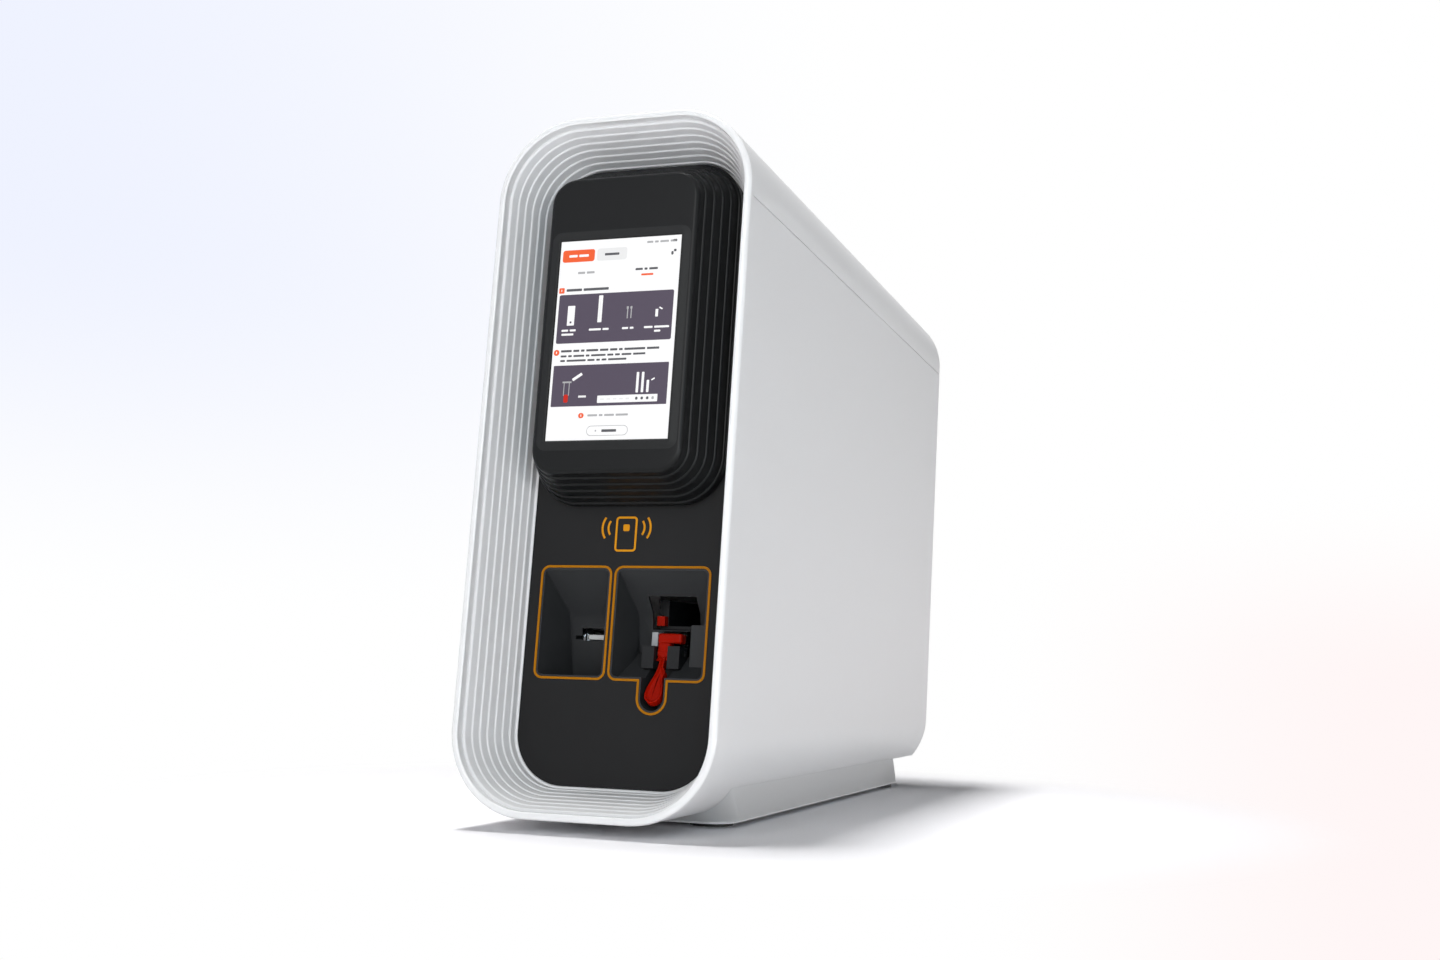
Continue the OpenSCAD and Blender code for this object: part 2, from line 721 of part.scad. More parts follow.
// Pins of the three idler pulleys with the cheeks that carry them
module idler_pins() color("gray") in_body() {
    cheek = belt_x - pulley_w / 2 - 1.6;
    for (side = [-1, 1]) mirror([side < 0 ? 1 : 0, 0, 0]) {
        translate([cheek - 4, idler_y, axle_z]) rotate([0, 90, 0]) cylinder(d=idler_d, h=18);
        box(cheek - 4, cheek, idler_y - 5, idler_y + 5, deck_z, axle_z + 5);
    }
    translate([carriage_x + 8.2, pip_belt_y, pip_low_z]) rotate([0, 90, 0])
        cylinder(d=idler_d, h=belt_x + 7 - carriage_x - 8.2);
}

module cartridge_carriage() color("#1b1b1c") in_body() {
    x0 = carriage_x - carriage_w / 2;
    x1 = carriage_x + carriage_w / 2;
    y1 = carriage_y + carriage_len;
    difference() {
        box(x0, x1, carriage_y, y1, carriage_z, carriage_z + carriage_h);
        box(x0 + 6, x1 - 3, carriage_y - 1, y1 + 1, carriage_z + 2, carriage_z + carriage_h + 1);
        box(x0 - 1, x0 + 2.5, carriage_y - 1, carriage_y + 4, carriage_z + 2, carriage_z + 9);
    }
    bearing_block(carriage_x, 1, carriage_z + 0.5);
}

// Small red catch on the carriage's left cheek
module latch_hook() color("#b01808") in_body() {
    x0 = carriage_x - carriage_w / 2;
    box(x0 + 0.2, x0 + 5.5, carriage_y - 5, carriage_y - 0.05, carriage_z + 2, carriage_z + 8);
    box(x0 + 0.2, x0 + 2.4, carriage_y - 0.1, carriage_y + 3.9, carriage_z + 2.2, carriage_z + 8);
}

// Deck that carries the drives, on four legs
module stage_deck() color("#9aa0a6") in_body() {
    difference() {
        box(-64, 64, deck_y0, deck_y1, deck_z - deck_t, deck_z);
        for (x = [-48, 0, 48], y = [140:45:300])
            translate([x, y, deck_z - deck_t - 1]) cylinder(d=12, h=deck_t + 2);
    }
    for (x = [-54, 54], y = [deck_y0 + 12, deck_y1 - 12])
        translate([x, y, chassis_z + chassis_t]) cylinder(d=12, h=deck_z - deck_t - chassis_z - chassis_t);
}

module chassis_plate() color("#8d9399") in_body() {
    difference() {
        box(-body_w / 2 + 19, body_w / 2 - 19, 98, body_d - 29, chassis_z, chassis_z + chassis_t);
        for (x = [-30, 30], y = [150:50:340])
            translate([x, y, chassis_z - 1]) cylinder(d=20, h=chassis_t + 2);
    }
    for (x = [-24, 24], leg = [[115, wall], [body_d - 45, heel_z + heel_t]])
        translate([x, leg[0], leg[1]]) cylinder(d=10, h=chassis_z - leg[1]);
}

module optics_column() color("#6e757c") in_body() {
    box(tray_x - 17, tray_x + 17, focus_y, focus_y + 8, deck_z, 262);
    box(tray_x - 4, tray_x + 4, focus_y - 5, focus_y, 140, 250);
}

// Carriage that raises and lowers the optics in front of the column
module focus_carriage() color("#4a5056") in_body() {
    difference() {
        box(tray_x - 15, tray_x + 15, focus_y - 14, focus_y - 0.4, 165, 225);
        box(tray_x - 4.4, tray_x + 4.4, focus_y - 5.4, focus_y + 1, 160, 230);
    }
    for (z = [168, 212])
        difference() {
            box(tray_x - 15, tray_x + 15, optic_y - 15, focus_y - 13.9, z, z + 10);
            translate([tray_x, optic_y, z - 1]) cylinder(d=24.4, h=12);
        }
}

module objective() color("#2c2f33") in_body() translate([tray_x, optic_y, 0]) {
    translate([0, 0, 128]) cylinder(d1=10, d2=18, h=8);
    translate([0, 0, 136]) cylinder(d=20, h=26);
    translate([0, 0, 162]) cylinder(d=24, h=66);
}

module camera() color("#3c4046") in_body() {
    box(tray_x - 15, tray_x + 15, optic_y - 15, optic_y + 15, 228.1, 256);
    for (z = [232:4:248])
        box(tray_x - 16, tray_x + 16, optic_y - 16, optic_y + 16, z, z + 1.6);
}

module ring_light() color("ivory") in_body() translate([tray_x, optic_y, 0]) {
    difference() {
        translate([0, 0, 138]) cylinder(d=40, h=8);
        translate([0, 0, 137]) cylinder(d=20.4, h=10);
    }
    for (x = [-14.2, 14.2]) translate([x, 0, 146]) cylinder(d=4, h=22);
}

module pipette_column() color("#6e757c") in_body() {
    box(carriage_x - 15, carriage_x + 15, pip_col_y, pip_col_y + 8, deck_z, 345);
    box(carriage_x - 4, carriage_x + 4, pip_col_y - 5, pip_col_y, 150, 335);
    difference() {
        box(carriage_x + 8, carriage_x + 15, pip_col_y + 7.9, pip_belt_y + 6, 142, 158);
        translate([carriage_x, pip_belt_y, pip_low_z]) rotate([0, 90, 0]) cylinder(d=idler_d, h=16);
    }
}

// Vertical carriage with the barrel and tip cone, and an arm to the belt
module pipette_carriage() color("#d9dcdf") in_body() {
    x = carriage_x;
    difference() {
        box(x - 12, x + 12, pip_col_y - 12, pip_col_y - 0.4, 222, 262);
        box(x - 4.4, x + 4.4, pip_col_y - 5.4, pip_col_y + 1, 210, 280);
    }
    difference() {
        box(x - 10, x + 10, pip_y - 10, pip_col_y - 11.9, 232, 252);
        translate([x, pip_y, 220]) cylinder(d=15.8, h=40);
    }
    difference() {
        union() {
            translate([x, pip_y, 205]) cylinder(d=16, h=85);
            translate([x, pip_y, 190]) cylinder(d1=5, d2=10, h=15.1);
            translate([x, pip_y, 170]) cylinder(d1=2, d2=5, h=20.1);
        }
        translate([x, pip_y, 210]) cylinder(d=12, h=90);
    }
    run_y = pip_belt_y - pulley_r - 0.3 - belt_t;
    arm_x = x + 15.6;
    box(x + 11.9, arm_x + 2.4, pip_col_y - 10, pip_col_y - 2, 236, 248);
    box(arm_x, arm_x + 2.4, pip_col_y - 10, run_y + belt_t + 3.1, 236, 248);
    for (y = [run_y - 2.8, run_y + belt_t + 0.3])
        box(arm_x + 2.3, belt_x + belt_w / 2, y, y + 2.5, 236, 248);
}

module plunger() color("silver") in_body() translate([carriage_x, pip_y, 0]) {
    translate([0, 0, 240]) cylinder(d=11.9, h=8);
    translate([0, 0, 248]) cylinder(d=4, h=62);
    translate([0, 0, 310]) cylinder(d=10, h=3);
}

// Main board on its standoffs along the left wall
module main_board() color("darkgreen") in_body() {
    x0 = -body_w / 2 + wall;
    difference() {
        box(x0 + 6, x0 + 7.6, 130, 350, 190, 350);
        for (y = [136, 344], z = [196, 344])
            translate([x0, y, z]) rotate([0, 90, 0]) cylinder(d=3.2, h=20);
    }
    for (y = [136, 344], z = [196, 344])
        translate([x0, y, z]) rotate([0, 90, 0]) difference() {
            cylinder(d=7, h=6);
            translate([0, 0, -1]) cylinder(d=3.2, h=9);
        }
    for (y = [180:9:234]) box(x0 + 12, x0 + 20, y, y + 2, 240, 290);
    box(x0 + 7.6, x0 + 12.1, 178, 238, 240, 290);
    box(x0 + 7.6, x0 + 16, 270, 300, 206, 222);
    box(x0 + 7.6, x0 + 13, 270, 330, 250, 262);
}

module card_reader_board() color("darkgreen") in_front() {
    translate([0, 176.5, 0]) slab(panel_back + 4, panel_back + 5.6) round_rect(60, 26, 2);
    for (x = [-25, 25]) translate([x, 176.5, -panel_back - 4]) cylinder(d=6, h=4 - 0.05);
}

module power_supply() color("silver") in_body() difference() {
    box(-supply_w / 2, supply_w / 2, supply_y, supply_y + supply_l, chassis_z + chassis_t, 76);
    for (x = [-44:8:44])
        box(x - 1.5, x + 1.5, supply_y + 14, supply_y + supply_l - 14, 73, 78);
}

// Rear panel with its openings, set into the casing's rear end
module rear_panel() color("#c9cccf") in_rear() difference() {
    translate([0, rear_len / 2 - rear_in * tan(rear_lean), rear_in]) linear_extrude(rear_t)
        round_rect(body_w - 2 * wall - 0.6, rear_len - 2 * wall - 1, corner_r - wall - 0.3);
    translate([0, fan_z, 0]) cylinder(d=fan_s - 6, h=30);
    for (s = rear_vents_z)
        translate([0, s, rear_in]) linear_extrude(10, center=true) round_rect(90, 4, 1.9);
    mains_cutouts();
    for (side = [-1, 1], z = lug_z) screw_place(side, z) cylinder(d=3.4, h=60, center=true);
    box(-body_w, body_w, -20, heel_z + heel_t + 0.5, -1, 40);
}

module screw_place(side, z)
    translate([side * (body_w / 2 - wall - 4), z / cos(rear_lean) - rear_in * tan(rear_lean), rear_in])
        children();

module mains_cutouts() translate([0, 0, rear_in]) linear_extrude(10, center=true) {
    translate([inlet_x, mains_z]) square([27.4, 20.4], center=true);
    translate([switch_x, mains_z]) square([14.4, 20.4], center=true);
    translate([-12, ports_z]) square([14, 15], center=true);
    translate([14, ports_z]) square([17.4, 15], center=true);
}

// Mains inlet with its three pins
module power_inlet() color("#1d1e1f") in_rear() translate([inlet_x, mains_z, 0]) {
    difference() {
        union() {
            translate([0, 0, rear_in - 2.6]) linear_extrude(2.5) round_rect(31, 24, 2.5);
            translate([0, 0, rear_in - 0.2]) linear_extrude(22) square([27, 20], center=true);
        }
        translate([0, 0, rear_in - 3]) linear_extrude(18) polygon([[-11.5, -7.8], [11.5, -7.8],
            [11.5, 3.6], [7.3, 7.8], [-7.3, 7.8], [-11.5, 3.6]]);
    }
    for (p = [[-7, -2.5], [0, 2.5], [7, -2.5]])
        translate([p[0], p[1], rear_in + 9]) linear_extrude(7) square([2, 4], center=true);
}

module switch_frame() color("#1d1e1f") in_rear() translate([switch_x, mains_z, 0]) {
    difference() {
        union() {
            translate([0, 0, rear_in - 2.2]) linear_extrude(2.1) square([17, 23], center=true);
            translate([0, 0, rear_in - 0.2]) linear_extrude(16) square([14, 20], center=true);
        }
        translate([0, 0, rear_in - 3]) linear_extrude(13) square([11.6, 17.6], center=true);
    }
    for (side = [-1, 1])
        translate([side * 5.2, 0, rear_in + 4]) rotate([0, 90, 0]) cylinder(d=2, h=1.4, center=true);
}

// Rocker of the mains switch, on two stub pins
module power_rocker() color("#303132") in_rear() translate([switch_x, mains_z, rear_in + 4])
    difference() {
        rotate([0, 90, 0]) linear_extrude(10.4, center=true) polygon([[4.8, -7.6], [5.6, 0],
            [4.8, 7.6], [-1, 7.6], [-3, 3], [-3, -3], [-1, -7.6]]);
        for (side = [-1, 1]) translate([side * 5, 0, 0]) rotate([0, 90, 0])
            cylinder(d=2 + 2 * run_fit, h=2.2, center=true);
    }

// Network and twin USB sockets on their small board
module rear_ports() color("silver") in_rear() {
    translate([-12, ports_z, 0]) difference() {
        translate([0, 0, rear_in - 0.5]) linear_extrude(18) square([13.6, 14.6], center=true);
        for (y = [-3.6, 3.6])
            translate([0, y, rear_in - 1]) linear_extrude(12) square([12, 5], center=true);
    }
    translate([14, ports_z, 0]) difference() {
        translate([0, 0, rear_in - 0.5]) linear_extrude(20) square([17, 14.6], center=true);
        translate([0, -1, rear_in - 1]) linear_extrude(14) square([12, 9], center=true);
    }
    translate([1, ports_z - 8.2, rear_in + rear_t + 0.4]) linear_extrude(30) square([52, 1.6], center=true);
}

// Fan frame with its spokes and axle
module fan_frame() color("#1f2022") in_rear() translate([0, fan_z, rear_in + rear_t + 0.1]) {
    difference() {
        linear_extrude(fan_t) round_rect(fan_s, fan_s, 5);
        translate([0, 0, -1]) cylinder(d=fan_s - 4, h=fan_t + 2);
        for (x = [-1, 1], y = [-1, 1])
            translate([x * (fan_s / 2 - 4.2), y * (fan_s / 2 - 4.2), -1]) cylinder(d=4, h=fan_t + 2);
    }
    translate([0, 0, fan_t - 4]) cylinder(d=32, h=4);
    for (a = [45:90:315]) rotate([0, 0, a]) box(14, fan_s / 2 - 1, -1.5, 1.5, fan_t - 3, fan_t);
    translate([0, 0, 5]) cylinder(d=idler_d, h=fan_t - 5);
}

module fan_rotor() color("#2b2c2e") in_rear() translate([0, fan_z, rear_in + rear_t + 0.1])
    difference() {
        union() {
            translate([0, 0, 3]) cylinder(d=32, h=17);
            intersection() {
                for (a = [0:360 / 7:359]) rotate([0, 0, a]) translate([0, 0, 11.5])
                    rotate([38, 0, 0]) box(14, fan_s / 2 - 3, -9, 9, -0.8, 0.8);
                translate([0, 0, 4]) cylinder(d=fan_s - 7, h=15);
            }
        }
        translate([0, 0, 4.6]) cylinder(d=idler_d + 2 * run_fit, h=40);
    }

// Ring guard over the fan, outside the rear panel
module fan_guard() color("silver") in_rear() translate([0, fan_z, rear_in - 1.3]) {
    for (r = [12:8:36]) difference() {
        translate([0, 0, -1]) cylinder(r=r + 0.8, h=1.6);
        translate([0, 0, -2]) cylinder(r=r - 0.8, h=4);
    }
    for (a = [45:90:315]) rotate([0, 0, a]) box(10, fan_s / 2 + 5, -0.9, 0.9, 0, 1.2);
}

module rear_screws() color("silver") in_rear()
    for (side = [-1, 1], z = lug_z) screw_place(side, z) {
        translate([0, 0, -0.1 - 1.8]) cylinder(d=6, h=1.8);
        translate([0, 0, -0.2]) cylinder(d=3, h=12);
    }

// Plinth that fills the rounded underside, narrower at the floor and swept to the rear
module plinth() color("#a7a8aa") in_body() difference() {
    hull() {
        plinth_slice(plinth_top_z + 6, plinth_top_x + 1.5, plinth_y_top[0] - 6, plinth_y_top[1] - 14, 14);
        plinth_slice(-plinth_drop + 0.8, plinth_low_x, plinth_y_low[0], plinth_y_low[1], 18);
    }
    difference() {
        tube(-0.15);
        heel(heel_y + 0.1, heel_z - 0.1);
    }
}

// Slice with rounded front corners and nearly sharp rear ones
module plinth_slice(z, half, y0, y1, r)
    translate([0, 0, z]) linear_extrude(0.4) hull() {
        round_span(-half, y0, half, y0 + 3 * r, r, $fn=64);
        round_span(-half, y0 + r, half, y1, plinth_rear_r, $fn=24);
    }

module base_plate() color("white") in_body() translate([0, 0, -plinth_drop])
    linear_extrude(0.8) union() {
        round_span(-plinth_low_x - 0.5, plinth_y_low[0] - 0.5, plinth_low_x + 0.5,
            plinth_y_low[0] + 80, 18);
        round_span(-plinth_low_x - 0.5, plinth_y_low[0] + 40, plinth_low_x + 0.5,
            plinth_y_low[1] + 0.5, plinth_rear_r);
    }

module rubber_feet() color("#151515") in_body()
    for (side = [-1, 1], place = foot_places)
        translate([side * place[0], place[1], -plinth_drop - foot_h]) difference() {
            cylinder(d=foot_d, h=foot_h);
            translate([0, 0, -1]) cylinder(d=9, h=2);
        }

lower_shell();
top_cover();
front_rim();
ribbed_bezel();
front_panel();
display_pod();
display_frame();
touch_glass();
lcd_module();
bay_outlines();
slide_bay_liner();
cartridge_bay_liner();
lever_posts();
lever_pin();
release_lever();
strip_sensor();
slide_tray();
tray_block();
tray_rail();
tray_belt();
tray_drive_pulley();
tray_idler_pulley();
tray_motor();
cartridge_carriage();
latch_hook();
cartridge_rail();
cartridge_belt();
cartridge_drive_pulley();
cartridge_idler_pulley();
cartridge_motor();
idler_pins();
stage_deck();
chassis_plate();
optics_column();
focus_carriage();
objective();
camera();
ring_light();
pipette_column();
pipette_carriage();
plunger();
pipette_belt();
pipette_drive_pulley();
pipette_idler_pulley();
pipette_motor();
main_board();
card_reader_board();
power_supply();
rear_panel();
power_inlet();
switch_frame();
power_rocker();
rear_ports();
fan_frame();
fan_rotor();
fan_guard();
rear_screws();
plinth();
base_plate();
rubber_feet();
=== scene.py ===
"""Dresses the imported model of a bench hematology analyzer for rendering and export.

Lengths inside the classes are millimetres; each piece is brought to metres when it is finished.
"""

from __future__ import annotations

import json
import logging
import math
from dataclasses import dataclass, field, replace
from enum import Enum
from typing import Callable, Iterable, Sequence, Union

import bmesh
import bpy
from mathutils import Matrix, Vector

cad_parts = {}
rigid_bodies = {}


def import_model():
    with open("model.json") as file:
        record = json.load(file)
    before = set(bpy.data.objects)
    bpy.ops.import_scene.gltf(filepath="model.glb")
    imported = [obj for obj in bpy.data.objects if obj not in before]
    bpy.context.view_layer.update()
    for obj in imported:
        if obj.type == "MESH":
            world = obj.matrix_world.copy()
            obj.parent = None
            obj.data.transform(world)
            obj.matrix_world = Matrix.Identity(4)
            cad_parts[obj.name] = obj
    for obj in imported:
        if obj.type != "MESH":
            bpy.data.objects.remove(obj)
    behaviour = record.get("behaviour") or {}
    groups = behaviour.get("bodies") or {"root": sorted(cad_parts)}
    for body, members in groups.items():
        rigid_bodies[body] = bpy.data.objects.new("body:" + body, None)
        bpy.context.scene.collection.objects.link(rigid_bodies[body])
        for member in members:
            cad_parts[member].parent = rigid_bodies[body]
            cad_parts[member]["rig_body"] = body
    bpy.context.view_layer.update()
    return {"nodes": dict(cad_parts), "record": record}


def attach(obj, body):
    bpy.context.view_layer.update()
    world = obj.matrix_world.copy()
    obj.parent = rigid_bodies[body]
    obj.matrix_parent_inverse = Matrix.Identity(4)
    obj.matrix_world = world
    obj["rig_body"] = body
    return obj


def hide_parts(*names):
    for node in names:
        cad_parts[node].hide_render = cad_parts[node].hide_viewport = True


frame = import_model()
LOG = logging.getLogger("analyzer")

Source = Union[bpy.types.NodeSocket, float, Sequence[float]]
Color = tuple[float, float, float]
Point = tuple[float, float, float]
Span = tuple[float, float]

MM = 0.001
QUARTER = math.radians(90)
FRONT_LEAN = math.radians(4.0)
REAR_LEAN = math.radians(3.3)
BODY_W, BODY_H, BODY_D = 170.0, 433.0, 515.0
CORNER_R = 52.0
BODY_Z = 8.4
HEEL_Y, HEEL_Z = BODY_D - 84.0, 18.8
RIM_EDGE_R = 2.6
FRONT_LOW = RIM_EDGE_R * (math.sin(FRONT_LEAN) + math.cos(FRONT_LEAN) - 1.0)
FRONT_Y = -(BODY_D + BODY_H * math.tan(REAR_LEAN) + FRONT_LOW) / 2.0
FRONT_LEN = BODY_H / math.cos(FRONT_LEAN)
RIM_W, RIM_D, FIT = 4.6, 5.6, 0.2
STEPS, STEP_IN, STEP_DEEP = 8, 1.875, 5.6
PANEL_D = STEPS * STEP_DEEP
LCD_W, LCD_H, LCD_LO = 80.8, 127.0, 227.0
POD_FRONT = 4.6


class Place(Enum):
    """Where a piece's own coordinates lie on the object."""

    BODY = "casing's front lower edge, x across, y to the rear, z up"
    RISE = "drawn on the upright section: x across, y up, z to the front"
    FRONT = "leaning front face: x across, y up the slope, z out of it"
    FRAME = "the object's own frame, in metres"

    def matrix(self) -> Matrix:
        """Returns the matrix from this place to metres in the object's frame."""
        if self is Place.FRAME:
            return Matrix.Identity(4)
        turn = {Place.BODY: 0.0, Place.RISE: QUARTER, Place.FRONT: QUARTER - FRONT_LEAN}[self]
        body = Matrix.Translation((0.0, FRONT_Y, BODY_Z))
        return Matrix.Scale(MM, 4) @ body @ Matrix.Rotation(turn, 4, "X")


@dataclass(frozen=True)
class Ring:
    """A rounded rectangle at one depth: its corners, its radius and its height z."""

    x0: float
    y0: float
    x1: float
    y1: float
    r: float
    z: float = 0.0

    def inset(self, inward: float, z: float) -> Ring:
        """Returns the same outline moved inward on every side, at another height."""
        return Ring(self.x0 + inward, self.y0 + inward, self.x1 - inward, self.y1 - inward,
                    max(self.r - inward, 0.0), z)


UPRIGHT = Ring(-BODY_W / 2, 0.0, BODY_W / 2, BODY_H, CORNER_R)


def around_screen(side: float, ends: float, r: float, z: float = 0.0) -> Ring:
    """Returns a rounded rectangle that stands out beyond the screen's sides and ends."""
    return Ring(-LCD_W / 2 - side, LCD_LO - ends, LCD_W / 2 + side, LCD_LO + LCD_H + ends, r, z)


def rounding(radius: float, segments: int) -> list[Span]:
    """Returns the points of a rounded edge, as what it takes off across and along.

    Args:
        radius: the edge's radius.
        segments: segments in the quarter circle.

    Returns:
        Pairs that run from (radius, 0) to (0, radius).
    """
    turns = [math.radians(90 * i / segments) for i in range(segments + 1)]
    return [(radius * (1 - math.sin(a)), radius * (1 - math.cos(a))) for a in turns]


def faces_at(verts: Iterable[bmesh.types.BMVert]) -> list[bmesh.types.BMFace]:
    """Returns the faces that meet any of some corners, in the same order each run."""
    return list(dict.fromkeys(f for v in verts for f in v.link_faces))


def mark_sharp(bm: bmesh.types.BMesh, angle: float) -> None:
    """Keeps open edges and those above an angle in degrees sharp, and smooths the others."""
    limit = math.radians(angle)
    for edge in bm.edges:
        edge.smooth = len(edge.link_faces) == 2 and edge.calc_face_angle(0) < limit


def add_object(name: str, bm: bmesh.types.BMesh) -> bpy.types.Object:
    """Turns a mesh under construction into an object of the scene.

    Args:
        name: name of the object and its mesh.
        bm: the mesh, which is freed.

    Returns:
        The new object.
    """
    mesh = bpy.data.meshes.new(name)
    bm.to_mesh(mesh)
    bm.free()
    made = bpy.data.objects.new(name, mesh)
    bpy.context.scene.collection.objects.link(made)
    return made


class Shaper:
    """A bmesh with the operations that the analyzer's pieces share, in millimetres."""

    def __init__(self) -> None:
        """Starts an empty mesh."""
        self.bm = bmesh.new()

    def since(self, before: set[bmesh.types.BMVert]) -> list[bmesh.types.BMVert]:
        """Returns the corners that aren't in an earlier set of them."""
        return [v for v in self.bm.verts if v not in before]

    def face(self, ring: Ring, segments: int = 8) -> bmesh.types.BMFace:
        """Adds a flat rounded rectangle.

        Args:
            ring: its outline and height.
            segments: segments in each rounded corner.

        Returns:
            The new face.
        """
        before = set(self.bm.faces)
        verts = bmesh.ops.create_grid(self.bm, x_segments=1, y_segments=1, size=0.5)["verts"]
        bmesh.ops.scale(self.bm, vec=(ring.x1 - ring.x0, ring.y1 - ring.y0, 1.0), verts=verts)
        centre = ((ring.x0 + ring.x1) / 2, (ring.y0 + ring.y1) / 2, ring.z)
        bmesh.ops.translate(self.bm, vec=centre, verts=verts)
        if ring.r > 1e-6:
            bmesh.ops.bevel(self.bm, geom=verts, offset=ring.r, offset_type="OFFSET",
                            segments=segments, profile=0.5, affect="VERTICES", material=-1,
                            clamp_overlap=False)
        return next(f for f in self.bm.faces if f not in before)

    def loop(self, ring: Ring, segments: int = 8) -> list[bmesh.types.BMEdge]:
        """Adds only the edges of a rounded rectangle and returns them."""
        face = self.face(ring, segments)
        edges = list(face.edges)
        bmesh.ops.delete(self.bm, geom=[face], context="FACES_ONLY")
        return edges

    def stack(self, rings: Sequence[Ring], segments: int = 8, ends: bool = False,
              closed: bool = False) -> None:
        """Bridges a row of rings into one surface.

        Args:
            rings: the outlines in order.
            segments: segments in each rounded corner.
            ends: whether a face closes the first and the last ring.
            closed: whether the last ring joins the first.
        """
        loops = [self.loop(ring, segments) for ring in rings]
        heights = [ring.z for ring in rings]
        pairs = list(zip(loops, loops[1:], heights, heights[1:]))
        if closed:
            pairs.append((loops[-1], loops[0], heights[-1], heights[0]))
        for one, two, low, high in pairs:
            level = abs(low - high) < 1e-4
            lifted = list({v for edge in two for v in edge.verts}) if level else []
            bmesh.ops.translate(self.bm, vec=(0, 0, 1), verts=lifted)
            bmesh.ops.bridge_loops(self.bm, edges=one + two)
            bmesh.ops.translate(self.bm, vec=(0, 0, -1), verts=lifted)
        for edges in (loops[0], loops[-1]) if ends else ():
            bmesh.ops.contextual_create(self.bm, geom=edges)

    def plate(self, ring: Ring, thick: float, bevel: float = 0.0, segments: int = 6,
              bevel_segments: int = 2) -> None:
        """Adds a plate that grows from a ring upward, with softened edges.

        Args:
            ring: outline and lower height.
            thick: thickness.
            bevel: radius of its edges.
            segments: segments in each rounded corner.
            bevel_segments: segments across each softened edge.
        """
        top = ring.z + thick
        rings = [ring, ring.inset(0.0, top)]
        if bevel > 0:
            edge = rounding(bevel, bevel_segments)
            rings = [ring.inset(inward, ring.z + up) for inward, up in edge]
            rings += [ring.inset(inward, top - down) for inward, down in reversed(edge)]
        self.stack(rings, segments, ends=True)

    def box(self, low: Point, high: Point) -> None:
        """Adds a box between its lowest and its highest corner."""
        size, middle = Vector(high) - Vector(low), (Vector(high) + Vector(low)) / 2
        verts = bmesh.ops.create_cube(self.bm, size=1.0)["verts"]
        bmesh.ops.scale(self.bm, vec=size, verts=verts)
        bmesh.ops.translate(self.bm, vec=middle, verts=verts)

    def extrude(self, faces: list[bmesh.types.BMFace]) -> list[bmesh.types.BMVert]:
        """Grows walls from faces, keeps the faces and returns the corners at the far end."""
        grown = bmesh.ops.extrude_face_region(self.bm, geom=faces, use_keep_orig=True)["geom"]
        return [g for g in grown if isinstance(g, bmesh.types.BMVert)]

    def bevel(self, edges: Iterable[bmesh.types.BMEdge], radius: float, segments: int = 2,
              clamp: bool = False) -> list[bmesh.types.BMVert]:
        """Rounds edges.

        Args:
            edges: the edges to round.
            radius: their new radius.
            segments: segments across each edge.
            clamp: whether the radius shrinks where two roundings would meet.

        Returns:
            The corners of the roundings.
        """
        return bmesh.ops.bevel(self.bm, geom=list(edges), offset=radius, offset_type="OFFSET",
                               segments=segments, profile=0.5, affect="EDGES", material=-1,
                               clamp_overlap=clamp)["verts"]

    def soften(self, angle: float, radius: float, clamp: bool = False) -> None:
        """Rounds every edge that is sharper than an angle in degrees."""
        limit = math.radians(angle)
        edges = [e for e in self.bm.edges if len(e.link_faces) == 2 and e.calc_face_angle(0) > limit]
        self.bevel(edges, radius, clamp=clamp)

    def paint(self, index: int, since: int) -> None:
        """Gives the faces made since a count of faces a material index."""
        self.bm.faces.ensure_lookup_table()
        for face in self.bm.faces[since:]:
            face.material_index = index

    def finish(self, name: str, place: Place, wardrobe: Wardrobe, slot: str,
               replaces: Iterable[str] = (), body: str = "casing",
               materials: Sequence[bpy.types.Material] = (), sharp: float = 32.0,
               recalc: bool = True) -> bpy.types.Object:
        """Turns the mesh into a piece of the object.

        Args:
            name: the piece's name.
            place: the place that its coordinates are drawn in.
            wardrobe: the materials.
            slot: the record's material slot.
            replaces: the nodes that it stands for.
            body: the body that it rides on.
            materials: its materials by index, where it isn't only the slot's own.
            sharp: angle in degrees from which an edge stays sharp.
            recalc: whether the faces are turned outward.

        Returns:
            The new object.
        """
        bmesh.ops.transform(self.bm, matrix=place.matrix(), verts=self.bm.verts)
        bmesh.ops.remove_doubles(self.bm, verts=self.bm.verts, dist=1e-7)
        if recalc:
            bmesh.ops.recalc_face_normals(self.bm, faces=self.bm.faces)
        for each in self.bm.faces:
            each.smooth = True
        mark_sharp(self.bm, sharp)
        piece = add_object(name, self.bm)
        for material in materials or [wardrobe[slot]]:
            piece.data.materials.append(material)
        weighted = piece.modifiers.new("even_normals", "WEIGHTED_NORMAL")
        weighted.keep_sharp = True
        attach(piece, body)
        nodes = list(replaces)
        if nodes:
            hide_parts(*nodes)
        LOG.info("piece %s on %s: %d faces", name, body, len(piece.data.polygons))
        return piece


